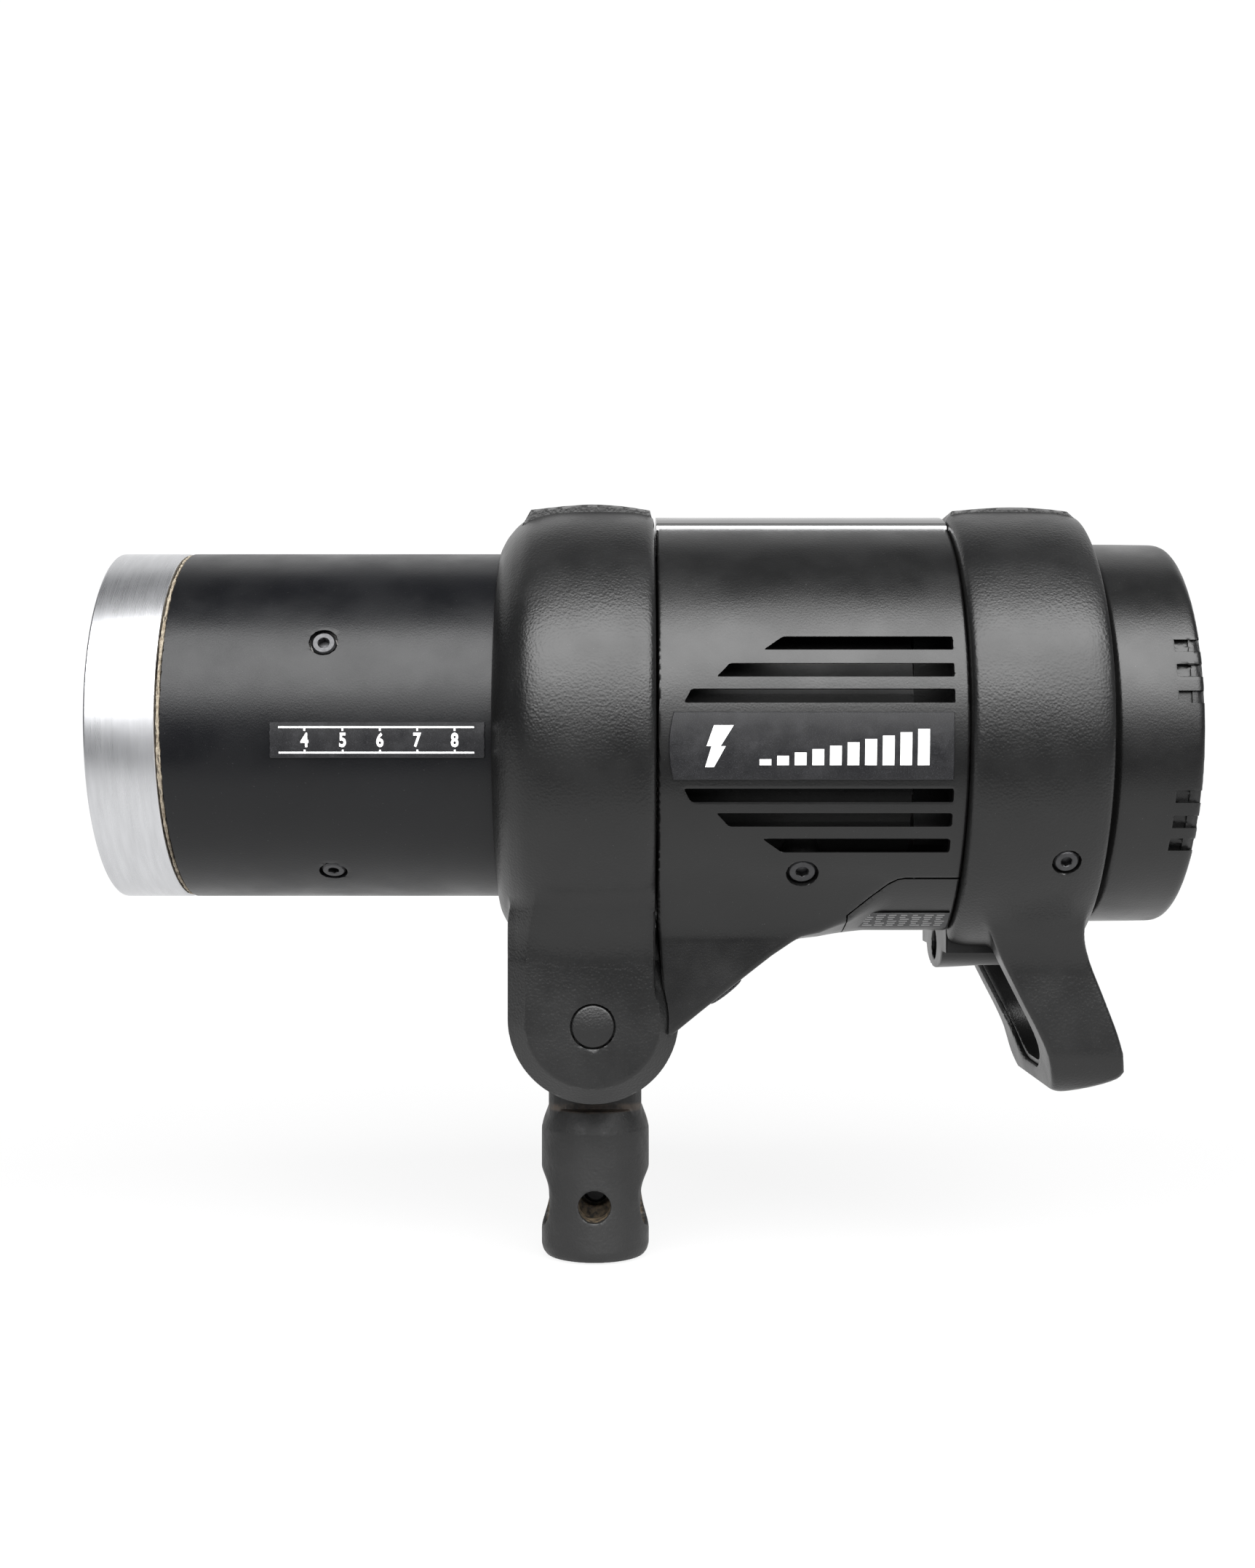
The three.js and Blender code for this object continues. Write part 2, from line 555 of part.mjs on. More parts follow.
const shell = bodyShell();
const stripRegion = (half) => block([0, -half, 190], [120, half, 230]);
const sideShells = cut(shell, stripRegion(STRIP_HALF + 0.2), coverRegion(0));
for (const [name, side] of SIDES) {
  const [y0, y1] = side < 0 ? [-90, -GAP / 2] : [GAP / 2, 90];
  place(`main_body_${name}`, sideShells.intersect(block([0, y0, 50], [120, y1, 240])), SATIN_BLACK);
}
place("top_strip", shell.intersect(stripRegion(STRIP_HALF - 0.1)), GLOSS_BLACK);
place("bottom_cover", shell.intersect(coverRegion(GAP)), SATIN_BLACK);

const bodyScrew = capScrew(BODY_SCREW.radius, 2, 1.5, 7);
const collarScrew = capScrew(COLLAR_SCREW.radius, 2, 1.5, 7);
for (const [name, side] of SIDES) {
  placeRadially(`body_screw_${name}`, bodyScrew, BODY_SCREW.x, BODY_Z, BODY_SCREW.below, side, 61);
  placeRadially(`collar_screw_${name}`, collarScrew, COLLAR_SCREW.x, BODY_Z, COLLAR_SCREW.below,
    side, 64.5);
}

// Name plates on both sides: a plain film with an arced front end.
const BADGE = { x0: 20.3, x1: 95, z0: 138.4, z1: 156.2 };

function badge(side) {
  const { x0, x1, z0, z1 } = BADGE;
  const shape = new THREE.Shape();
  shape.moveTo(x0 + 1.2, z0);
  shape.quadraticCurveTo(x0 - 1.2, (z0 + z1) / 2, x0 + 1.2, z1);
  shape.lineTo(x1, z1);
  shape.lineTo(x1, z0);
  const [near, far] = [side * 50, side * 70];
  const region = slabAcross(shape, Math.min(near, far), Math.max(near, far));
  return wrappedFilm(x0 - 1, x1 + 1, BODY_R, BODY_Z, region);
}

for (const [name, side] of SIDES) place(`badge_${name}`, badge(side), LABEL_BLACK);
place("rating_label", wrappedFilm(70, 98.5, BODY_R, BODY_Z,
  block([60, -60, 97.2], [98.5, 0, 101.8])), LABEL_BLACK);

// ---- Umbrella clamp screw in the belly ------------------------------------------------------

place("umbrella_screw_shaft", rod(alongThumb(-3.4), alongThumb(4.6), 2.5, 2.5, SMALL_SIDES),
  DARK_STEEL);

function umbrellaScrewHead() {
  const head = rod(alongThumb(-4.6), alongThumb(-1.2), 5.6, 6.2);
  return cut(head, rod(alongThumb(-3.7), alongThumb(2), 2.9, 2.9, SMALL_SIDES));
}

place("umbrella_screw_head", umbrellaScrewHead(), DARK_STEEL);

// ---- Rear collar and its handle -------------------------------------------------------------

const REAR_COLLAR_CURVE = [[REAR_COLLAR_FRONT, 62.3], [101, 64], [106, 64.8], [118, COLLAR_R],
  [128, 64.8], [132.5, 64.3], [135.5, 63.5], [REAR_COLLAR_BACK, 62.4]];

// The handle seen from the side: it leans back and ends in a rounded toe.
function handleSide(inset = 0) {
  const front = [[107, 101], [114, 87], [119.8, 75.5], [123.4, 68.5], [126.2, 62], [128, 54.5]];
  const toe = [[130, 50.2], [134, 50.6], [141, 52.6], [146.4, 55.2]];
  const back = [[147.8, 58], [145.3, 68.6], [141.5, 78.3], [137.5, 88.2], [135.3, 96], [135.3, 104]];
  const shift = (amount) => ([x, z]) => new THREE.Vector2(x + amount, z);
  const shape = new THREE.Shape();
  shape.moveTo(REAR_COLLAR_FRONT + inset, 118);
  shape.lineTo(REAR_COLLAR_FRONT + inset, 112);
  shape.splineThru(front.map(shift(inset)));
  shape.splineThru(toe.map(shift(0)));
  shape.splineThru(back.map(shift(-inset)));
  shape.lineTo(REAR_COLLAR_BACK - inset, 112);
  shape.lineTo(REAR_COLLAR_BACK - inset, 118);
  return slabAcross(shape, -60, 60, { curveSegments: 3 });
}

// The handle's outline from the front: two legs that spread into the collar.
function handleOutline() {
  const [corner, foot] = [14, 49.5];
  const shape = new THREE.Shape();
  shape.moveTo(50.8, 112);
  shape.quadraticCurveTo(HANDLE_HALF + 1, 98, HANDLE_HALF, 84);
  shape.lineTo(HANDLE_HALF, foot + corner);
  shape.absarc(HANDLE_HALF - corner, foot + corner, corner, 0, -Math.PI / 2, true);
  shape.absarc(corner - HANDLE_HALF, foot + corner, corner, -Math.PI / 2, -Math.PI, true);
  shape.lineTo(-HANDLE_HALF, 84);
  shape.quadraticCurveTo(-HANDLE_HALF - 1, 98, -50.8, 112);
  return slabAlong(shape, 90, 160, 6);
}

// The finger opening: a slot with round lower corners, open to the guide above.
function openingRoom(half, floor, corner, top) {
  const shape = new THREE.Shape();
  shape.moveTo(half, top);
  shape.lineTo(half, floor + corner);
  shape.absarc(half - corner, floor + corner, corner, 0, -Math.PI / 2, true);
  shape.absarc(corner - half, floor + corner, corner, -Math.PI / 2, -Math.PI, true);
  shape.lineTo(-half, top);
  return slabAlong(shape, 80, 170, 4);
}

const OPENING_FLOOR = 55.3;
const OPENING_CORNER = 17;

function rearCollarHandle() {
  const round = paddedRound(REAR_COLLAR_CURVE, [[REAR_COLLAR_FRONT, 209], [101.4, 214.6],
    [118, 215.8], [134, 214.6], [136.8, 209]]);
  const handle = handleSide().intersect(handleOutline());
  const screwRooms = SIDES.flatMap(([, side]) => [
    radialRod(COLLAR_SCREW.x, BODY_Z, COLLAR_SCREW.below, side, 62, 68, 3.8, 16),
    radialRod(COLLAR_SCREW.x, BODY_Z, COLLAR_SCREW.below, side, 54, 64, 1.9),
  ]);
  return cut(
    joined(round, handle),
    rod([90, 0, BODY_Z], [150, 0, BODY_Z], 56, 56, BIG_SIDES),
    openingRoom(HANDLE_OPENING_HALF, OPENING_FLOOR, OPENING_CORNER, 101.6),
    ...screwRooms,
  );
}

function handleLiner() {
  const outer = openingRoom(HANDLE_OPENING_HALF - GAP, OPENING_FLOOR + GAP, OPENING_CORNER, 89.2);
  const inner = openingRoom(HANDLE_OPENING_HALF - GAP - LINER, OPENING_FLOOR + GAP + LINER,
    OPENING_CORNER - LINER, 120);
  return cut(outer, inner).intersect(handleSide(1.2));
}

place("rear_collar_handle", rearCollarHandle(), SOFT_BLACK);
place("handle_liner", handleLiner(), GLOSS_BLACK);

// The guide that holds the umbrella shaft between the handle's legs.
function umbrellaGuide() {
  const [flange, boss, step, top] = [HANDLE_OPENING_HALF - GAP, 14, 89.5, 96.5];
  const shape = new THREE.Shape();
  shape.moveTo(flange, top);
  shape.lineTo(flange, step);
  shape.lineTo(boss, step);
  shape.absellipse(0, step, boss, 6, 0, -Math.PI, true);
  shape.lineTo(-flange, step);
  shape.lineTo(-flange, top);
  const foot = polygon([[REAR_COLLAR_FRONT, 83.5], [112, 84.8], [138, 84.8], [138, 99],
    [REAR_COLLAR_FRONT, 99]]);
  const body = slabAlong(shape, REAR_COLLAR_FRONT, 137, 6).intersect(slabAcross(foot, -40, 40));
  return cut(body, umbrellaShaft(90, 150, UMBRELLA_R));
}

place("umbrella_guide", umbrellaGuide(), SATIN_BLACK);

// ---- Rear housing and control panel ---------------------------------------------------------

// Notches in the rim, as heights above the tube's axis. They stop at an inner wall.
const NOTCHES = [19.9, 13.1, 6, -20.6, -27.4, -33.6];
const NOTCH_HALF = 1.65;
const NOTCH_FLOOR_R = 53.1;
const GROOVE_R = 53.6; // a shadow groove behind the rear collar

function rearHousing() {
  const groove = [[136, REAR_R], [136, GROOVE_R], [139, GROOVE_R], [141.3, REAR_R]];
  const wall = ring([[REAR_FRONT, 52.5], [REAR_FRONT, REAR_R], ...groove, [158, 55.2],
    [161.8, 54.8], [REAR_BACK, 53.8], [REAR_BACK, 52.2], [REAR_BACK - 0.6, 51.7],
    [PANEL_FACE + GAP, 51.7], [PANEL_FACE + GAP, 52.5]], BODY_Z);
  const core = rod([150, 0, BODY_Z], [170, 0, BODY_Z], NOTCH_FLOOR_R, NOTCH_FLOOR_R, BIG_SIDES);
  const notches = SIDES.flatMap(([, side]) => NOTCHES.map((height) => {
    const [y0, y1] = side < 0 ? [-62, -38] : [38, 62];
    const z = TUBE_Z + height;
    return block([PANEL_FACE + 0.2, y0, z - NOTCH_HALF], [170, y1, z + NOTCH_HALF]);
  }));
  return cut(wall, ...notches.map((notch) => cut(notch, core)));
}

place("rear_housing", rearHousing(), SATIN_BLACK);

const panelSlab = ([width, height], at, x0, x1, corner = 1) =>
  slabAlong(roundedRectangle(width, height, corner, onPanel(at)), x0, x1, 2);
const grown = ([width, height], amount) => [width + amount, height + amount];

function controlPanel() {
  const disc = rod([152.2, 0, BODY_Z], [PANEL_FACE, 0, BODY_Z], 52.1, 52.1, BIG_SIDES);
  const panelHole = (at, radius) =>
    rod([140, ...onPanel(at)], [170, ...onPanel(at)], radius, radius, 16);
  return cut(
    disc,
    panelSlab(grown(DISPLAY.size, 0.6), DISPLAY.at, 140, 170),
    panelHole(DIAL.at, 3.4),
    ...BUTTONS.map((at) => panelSlab(grown(BUTTON_SIZE, 0.7), at, 140, 170, 1.5)),
    panelSlab(grown(INLET.body, 0.7), INLET.at, 140, 170),
    panelSlab([14, 22], SWITCH.at, 140, 170),
    panelHole(SYNC.at, 4.2),
  );
}

place("control_panel", controlPanel(), SATIN_BLACK);
place("display_window", panelSlab(DISPLAY.size, DISPLAY.at, 153, 156), GLOSS_BLACK);

function energyDial() {
  const [y, z] = onPanel(DIAL.at);
  const knob = turned([[148, 0], [148, 3], [155.9, 3], [155.9, DIAL.radius], [160.3, DIAL.radius],
    [161.5, DIAL.radius - 1.2], [161.5, 0]], z, 24).translate([0, y, 0]);
  const flutes = [];
  for (let i = 0; i < 12; i++) {
    const angle = (i * Math.PI) / 6;
    const [fy, fz] = [y + 16 * Math.cos(angle), z + 16 * Math.sin(angle)];
    flutes.push(rod([156.9, fy, fz], [163, fy, fz], 2, 2, 6));
  }
  return cut(knob, ...flutes);
}

place("energy_dial", energyDial(), SOFT_BLACK);

const buttonShape = geometryOf(joined(
  slabAlong(roundedRectangle(...BUTTON_SIZE, 1.4), 152, 157.2, 3),
  rod([148.9, 0, 0], [153, 0, 0], 2, 2, SMALL_SIDES),
));
BUTTONS.forEach((at, i) => {
  const button = place(`panel_button_${i + 1}`, buttonShape, SOFT_BLACK);
  button.position.set(0, ...onPanel(at));
});

// The mains inlet: a flanged box with three flat pins in its cavity.
function mainsInlet() {
  const [y, z] = onPanel(INLET.at);
  const body = joined(
    panelSlab(INLET.body, INLET.at, 138.5, 156.5),
    panelSlab(INLET.flange, INLET.at, PANEL_FACE + GAP, 157.8, 2),
  );
  const cavity = panelSlab(INLET.cavity, INLET.at, 141.5, 170, 3);
  const [halfWide, halfHigh] = [1, 2];
  const pin = (across, up) => block([140, y + across - halfWide, z + up - halfHigh],
    [150, y + across + halfWide, z + up + halfHigh]);
  return joined(cut(body, cavity), pin(-7, -2), pin(0, 2), pin(7, -2));
}

place("mains_inlet", mainsInlet(), SATIN_BLACK);

// The rocker turns about a line across the panel, just inside it, and rests with its top pressed.
const ROCKER_X = 152;
const ROCKER_TILT = 8;

function powerSwitch() {
  const [halfWide, halfHigh] = [SWITCH.size[0] / 2, SWITCH.size[1] / 2];
  const side = polygon([[-3, -7], [5.4, -halfHigh], [4, 0], [5.4, halfHigh], [-3, 7]]);
  const rocker = slabAcross(side, -halfWide, halfWide);
  return cut(rocker, rod([0, -10, 0], [0, 10, 0], 1.2, 1.2, SMALL_SIDES));
}

const rocker = place("power_switch", powerSwitch(), SOFT_BLACK);
rocker.position.set(ROCKER_X, ...onPanel(SWITCH.at));
rocker.rotation.y = -THREE.MathUtils.degToRad(ROCKER_TILT);

function syncSocket() {
  const at = onPanel(SYNC.at);
  const rim = rod([PANEL_FACE + GAP, ...at], [157.2, ...at], SYNC.radius, 4.6, 16);
  const sleeve = rod([148, ...at], [156.5, ...at], 3.8, 3.8, 16);
  return cut(joined(rim, sleeve), rod([149.5, ...at], [160, ...at], 1.8, 1.8, SMALL_SIDES));
}

place("sync_socket", syncSocket(), BRIGHT_STEEL);

// ---- Inside: fan, capacitors, boards and the insulating sleeve ------------------------------

function fanFrame() {
  const at = [0, BODY_Z];
  const frame = slabAlong(roundedRectangle(74, 74, 8, at), 88, 101, 2);
  const bore = rod([80, 0, BODY_Z], [98.6, 0, BODY_Z], 35.5, 35.5, 24);
  const windows = [0, 1, 2, 3].map((i) => {
    const quarter = new THREE.Shape();
    quarter.absarc(0, 0, 35.5, 0.1, Math.PI / 2 - 0.1);
    quarter.absarc(0, 0, 13, Math.PI / 2 - 0.25, 0.25, true);
    const turn = new THREE.Matrix4().makeRotationX((i * Math.PI) / 2);
    return slabAlong(quarter, 90, 110, 3).transform(turn.elements).translate([0, 0, BODY_Z]);
  });
  return cut(frame, bore, ...windows);
}

place("fan_frame", fanFrame(), SATIN_BLACK);

function fanRotor() {
  const hub = rod([89, 0, 0], [98, 0, 0], 12.5, 12.5, 24);
  const blades = [0, 1, 2, 3, 4, 5, 6].map((i) => {
    const blade = new THREE.BoxGeometry(9.5, 1.2, 23.5);
    blade.rotateZ(0.75).translate(93.5, 0, 22.7).rotateX((i * 2 * Math.PI) / 7);
    return solid(blade);
  });
  return joined(hub, ...blades);
}

place("fan_rotor", fanRotor(), GLOSS_BLACK).position.z = BODY_Z;

const capacitorShape = geometryOf(turned([[22, 0], [22, 17], [80, 17], [81, 15.5],
  [82.5, 15.5], [84, 17], [85.5, 17], [85.5, 0]], 0, 20));
[[-20, 19], [20, 19], [-20, -19], [20, -19]].forEach(([across, up], i) => {
  place(`capacitor_${i + 1}`, capacitorShape, SLEEVE_GREY).position.set(0, across, BODY_Z + up);
});

function powerBoard() {
  const z = BODY_Z - 27;
  const transformer = block([108, -16, z], [126, 14, z + 22]);
  const heatSink = block([110, 20, z], [132, 32, z + 20]);
  const choke = rod([116, -29, z], [116, -29, z + 14], 8, 8, 16);
  return joined(block([106, -41, z - 1.6], [136, 41, z + 0.4]), transformer, heatSink, choke);
}

place("power_board", powerBoard(), BOARD_GREEN);

function controlBoard() {
  const disc = rod([146, 0, BODY_Z], [147.6, 0, BODY_Z], 47, 47, 32);
  const chip = block([142.5, -10, BODY_Z + 18], [146.5, 10, BODY_Z + 32]);
  return cut(joined(disc, chip), block([140, -60, BODY_Z - 60], [150, 60, BODY_Z - 16]));
}

place("control_board", controlBoard(), BOARD_GREEN);
place("insulating_sleeve", tubeWall(20, 86, 50, 51, BODY_Z, 36), SLEEVE_GREY);

export default monolight;
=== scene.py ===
"""The looks of the monolight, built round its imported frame. Lengths are in millimetres until a
mesh is made. The lamp fires towards -X, its left side is -Y and up is +Z."""

import math

import bmesh
import bpy
import numpy as np
from mathutils import Matrix, Vector


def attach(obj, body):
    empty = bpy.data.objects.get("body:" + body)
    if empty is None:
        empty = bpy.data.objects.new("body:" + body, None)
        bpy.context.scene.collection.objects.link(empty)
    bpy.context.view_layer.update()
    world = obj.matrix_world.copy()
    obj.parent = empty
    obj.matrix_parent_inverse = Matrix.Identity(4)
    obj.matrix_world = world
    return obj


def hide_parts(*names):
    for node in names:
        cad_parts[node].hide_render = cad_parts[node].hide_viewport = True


MM = 0.001

# ---- Dimensions shared with the frame

PIVOT_Z = 71.0
TUBE_Z = 154.5
BODY_Z = 152.6
TUBE_R = 50.0
BODY_R = 61.6
SHELL = 2.8
LUG_R = 23.6
LUG_Z = 72.6
LUG_BEVEL = 5.1
NECK_HALF = 40.0
BELLY_HALF = 38.5
SLOT_HALF = 11.0
SLOT_TOP = 85.2
PAD_HALF = 20.0
PAD_SINK = 0.6
STRIP_HALF = 24.0
BODY_FRONT = 17.6
BODY_BACK = 99.2
BODY_FLAT_Z = 96.0
UMBRELLA_Z = 90.3
UMBRELLA_R = 4.3
LOCK_Z = 16.2
AXLE_HOLE_R = 5.3
PANEL_FACE = 155.5
TUBE_SCREW_X = -72.7
TUBE_SCREW_BELOW = (-25.0, 56.5)
BODY_SCREW = (56.5, 39.8)
COLLAR_SCREW = (126.2, 34.0)
CROWN_Z = 216.8
THUMB_AT = np.array((35.9, 0.0, 79.4))
THUMB_IN = np.array((-0.61586, 0.0, 0.78786))


# ---- Signed distance building blocks


def length(*parts):
    return np.sqrt(sum(part * part for part in parts))


def join(a, b, r=0.0):
    """Union with a concave fillet of radius r."""
    if r == 0:
        return np.minimum(a, b)
    return np.maximum(r, np.minimum(a, b)) - length(np.maximum(r - a, 0), np.maximum(r - b, 0))


def meet(a, b, r=0.0):
    """Intersection with a rounded edge of radius r."""
    if r == 0:
        return np.maximum(a, b)
    return np.minimum(-r, np.maximum(a, b)) + length(np.maximum(r + a, 0), np.maximum(r + b, 0))


def carve(a, b, r=0.0):
    return meet(a, -b, r)


def bevelled(a, b, size):
    """Intersection with a 45 degree bevel."""
    return np.maximum(np.maximum(a, b), (a + b + size) * math.sqrt(0.5))


def ramp(value, start, over):
    return np.clip((value - start) / over, 0, 1)


def smooth_ramp(value, start, over):
    t = ramp(value, start, over)
    return t * t * (3 - 2 * t)


def slab(value, low, high):
    return np.maximum(low - value, value - high)


def rectangle(a, b, half_a, half_b, r=0.0):
    across = np.abs(a) - half_a + r
    up = np.abs(b) - half_b + r
    outside = length(np.maximum(across, 0), np.maximum(up, 0))
    return outside + np.minimum(np.maximum(across, up), 0) - r


def spline(points, samples=6):
    """A smooth curve through points, as a finer list of points."""
    points = np.asarray(points, float)
    padded = np.vstack((2 * points[0] - points[1], points, 2 * points[-1] - points[-2]))
    made = []
    for a, b, c, d in zip(padded, padded[1:], padded[2:], padded[3:]):
        for t in np.arange(samples) / samples:
            made.append(0.5 * (2 * b + (c - a) * t + (2 * a - 5 * b + 4 * c - d) * t**2
                               + (3 * b - a - 3 * c + d) * t**3))
    return [*made, points[-1]]


def polygon(points):
    """Signed distance to a closed outline, as a function of two coordinates."""
    points = np.asarray(points, float)
    edges = list(zip(points, np.roll(points, -1, axis=0)))

    def distance(u, v):
        nearest = np.float32(1e12)
        inside = np.zeros(np.broadcast(u, v).shape, bool)
        for (u0, v0), (u1, v1) in edges:
            du, dv = u1 - u0, v1 - v0
            t = np.clip(((u - u0) * du + (v - v0) * dv) / (du * du + dv * dv), 0, 1)
            nearest = np.minimum(nearest, (u - u0 - t * du) ** 2 + (v - v0 - t * dv) ** 2)
            if dv != 0:
                inside ^= ((v0 > v) != (v1 > v)) & (u < u0 + (v - v0) * du / dv)
        return np.where(inside, -1, 1) * np.sqrt(nearest)

    return distance


def profile(points):
    """Distance to a turned surface whose radius follows smooth [station, radius] points."""
    fine = np.array(spline(points, 12))
    slope = np.gradient(fine[:, 1], fine[:, 0])

    def distance(x, r):
        radius = np.interp(x, fine[:, 0], fine[:, 1])
        steep = np.interp(x, fine[:, 0], slope)
        return (r - radius) / np.sqrt(1 + steep * steep)

    return distance


def rod_y(x, y, z, at, radius, y0, y1, edge=0.0):
    return meet(length(x - at[0], z - at[1]) - radius, slab(y, y0, y1), edge)


def rod_x(x, y, z, at, radius, x0, x1, edge=0.0):
    return meet(length(y - at[0], z - at[1]) - radius, slab(x, x0, x1), edge)


def radial_rod(x, y, z, station, centre_z, below, radius, inner, outer):
    """A rod that points away from a lamp axis, on both sides."""
    angle = math.radians(below)
    side = np.abs(y)
    along = side * math.cos(angle) - (z - centre_z) * math.sin(angle)
    across = side * math.sin(angle) + (z - centre_z) * math.cos(angle)
    return np.maximum(length(x - station, across) - radius, slab(along, inner, outer))


# ---- Meshes


def contour(field, low, high, cell):
    """Vertices and quads of a field's zero surface, by dual contouring."""
    low = np.asarray(low, float)
    steps = np.ceil((np.asarray(high, float) - low) / cell).astype(int) + 1
    axes = [(low[a] + cell * np.arange(steps[a])).astype(np.float32) for a in range(3)]
    sampled = field(axes[0][:, None, None], axes[1][None, :, None], axes[2][None, None, :])
    value = np.broadcast_to(sampled, steps)
    inside = value < 0
    points, normals, owners = [], [], []
    for axis in range(3):
        first = [slice(None)] * 3
        second = [slice(None)] * 3
        first[axis], second[axis] = slice(0, -1), slice(1, None)
        first, second = tuple(first), tuple(second)
        start = np.argwhere(inside[first] != inside[second])
        if not len(start):
            continue
        place = tuple(start.T)
        near, far = np.zeros(len(start)), np.ones(len(start))
        near_value = value[first][place].astype(float)
        far_value = value[second][place].astype(float)
        base = low + cell * start
        step = np.zeros(3)
        step[axis] = cell
        for _ in range(2):
            middle = near + (far - near) * near_value / (near_value - far_value)
            found = field(*(base + middle[:, None] * step).T)
            same = (found < 0) == (near_value < 0)
            near, far = np.where(same, middle, near), np.where(same, far, middle)
            near_value = np.where(same, found, near_value)
            far_value = np.where(same, far_value, found)
        gap = near_value - far_value
        gap = np.where(np.abs(gap) < 1e-12, 1e-12, gap)
        crossing = base + (near + (far - near) * near_value / gap)[:, None] * step
        reach = 0.01 * cell
        slope = np.empty_like(crossing)
        for a in range(3):
            shift = np.zeros(3)
            shift[a] = reach
            slope[:, a] = field(*(crossing + shift).T) - field(*(crossing - shift).T)
        slope /= np.maximum(np.linalg.norm(slope, axis=1, keepdims=True), 1e-9)
        b, c = (axis + 1) % 3, (axis + 2) % 3
        around = np.repeat(start[:, None, :], 4, axis=1)
        around[:, :, b] += [-1, 0, 0, -1]
        around[:, :, c] += [-1, -1, 0, 0]
        owner = np.ravel_multi_index(around.reshape(-1, 3).T, steps).reshape(-1, 4)
        outward = inside[first][place]
        owners.append(np.where(outward[:, None], owner, owner[:, ::-1]))
        points.append(crossing)
        normals.append(slope)
    points = np.repeat(np.concatenate(points), 4, axis=0)
    normals = np.repeat(np.concatenate(normals), 4, axis=0)
    owners = np.concatenate(owners)
    used, index = np.unique(owners, return_inverse=True)
    index = index.reshape(-1)

    def total(weights):
        return np.bincount(index, weights, len(used))

    count = np.bincount(index, minlength=len(used))[:, None]
    mass = np.stack([total(points[:, a]) for a in range(3)], axis=1) / count
    offset = ((points - mass[index]) * normals).sum(axis=1)
    matrix = np.empty((len(used), 3, 3))
    for a in range(3):
        for b in range(a, 3):
            matrix[:, a, b] = matrix[:, b, a] = total(normals[:, a] * normals[:, b])
    matrix += 0.03 * count[:, :, None] * np.eye(3)
    right = np.stack([total(normals[:, a] * offset) for a in range(3)], axis=1)
    vertices = mass + np.linalg.solve(matrix, right[:, :, None])[:, :, 0]
    corner = low + cell * np.stack(np.unravel_index(used, steps), axis=1)
    vertices = np.clip(vertices, corner, corner + cell)
    return vertices, index.reshape(-1, 4)


def turned(points, centre_z, segments=192, wobble=None):
    """Vertices and quads of a closed [station, radius] outline turned about the lamp's axis."""
    points = np.asarray(points, float)
    angles = np.arange(segments) * 2 * math.pi / segments
    station = np.repeat(points[None, :, 0], segments, axis=0)
    radius = np.repeat(points[None, :, 1], segments, axis=0)
    if wobble is not None:
        station, radius = wobble(angles[:, None], station, radius)
    vertices = np.stack((station, radius * np.sin(angles)[:, None],
                         centre_z + radius * np.cos(angles)[:, None]), axis=2).reshape(-1, 3)
    ring, row = np.meshgrid(np.arange(segments), np.arange(len(points)), indexing="ij")
    next_ring, next_row = (ring + 1) % segments, (row + 1) % len(points)
    n = len(points)
    quads = np.stack((ring * n + row, ring * n + next_row, next_ring * n + next_row,
                      next_ring * n + row), axis=2).reshape(-1, 4)
    return vertices, quads


def rounded_outline(points, r, steps=4):
    """A closed outline with each corner rounded off."""
    points = [np.array(p, float) for p in points]
    made = []
    for before, at, after in zip([points[-1], *points], points, [*points[1:], points[0]]):
        reach = min(r, 0.45 * np.linalg.norm(at - before), 0.45 * np.linalg.norm(after - at))
        start = at + (before - at) / np.linalg.norm(before - at) * reach
        end = at + (after - at) / np.linalg.norm(after - at) * reach
        for t in np.linspace(0, 1, steps):
            made.append((1 - t) ** 2 * start + 2 * t * (1 - t) * at + t**2 * end)
    return made


def film(z_rows, x_left, x_right, radius, centre_z, thick=0.3, edge=0.12, side=-1, columns=24):
    """A thin film wrapped on a round surface; its ends follow x_left(z) and x_right(z)."""
    rows = len(z_rows)
    u = np.linspace(0, 1, columns)
    vertices = []
    for level, inset in ((radius, 0), (radius + thick - edge, 0), (radius + thick, edge)):
        for z in z_rows:
            fraction = (z - z_rows[0]) / (z_rows[-1] - z_rows[0])
            moved = z + inset * (1 - 2 * fraction)
            left, right = x_left(z) + inset, x_right(z) - inset
            y = side * math.sqrt(level**2 - (moved - centre_z) ** 2)
            vertices += [(left + (right - left) * t, y, moved) for t in u]
    border = [*range(columns), *range(2 * columns - 1, rows * columns, columns),
              *range(rows * columns - 2, (rows - 1) * columns - 1, -1),
              *range((rows - 2) * columns, 0, -columns)]
    layer = rows * columns
    quads = []
    for i in range(rows - 1):
        for j in range(columns - 1):
            corner = i * columns + j
            face = (corner, corner + 1, corner + columns + 1, corner + columns)
            quads.append([2 * layer + k for k in face])
            quads.append(face[::-1])
    for low, high in ((0, layer), (layer, 2 * layer)):
        for a, b in zip(border, border[1:] + border[:1]):
            quads.append((low + a, low + b, high + b, high + a))
    quads = np.array(quads)
    return np.array(vertices), quads if side < 0 else quads[:, ::-1]


def merged(parts):
    """Several vertex and quad lists as one."""
    vertices, quads, count = [], [], 0
    for part_vertices, part_quads in parts:
        vertices.append(part_vertices)
        quads.append(np.asarray(part_quads) + count)
        count += len(part_vertices)
    return np.concatenate(vertices), np.concatenate(quads)


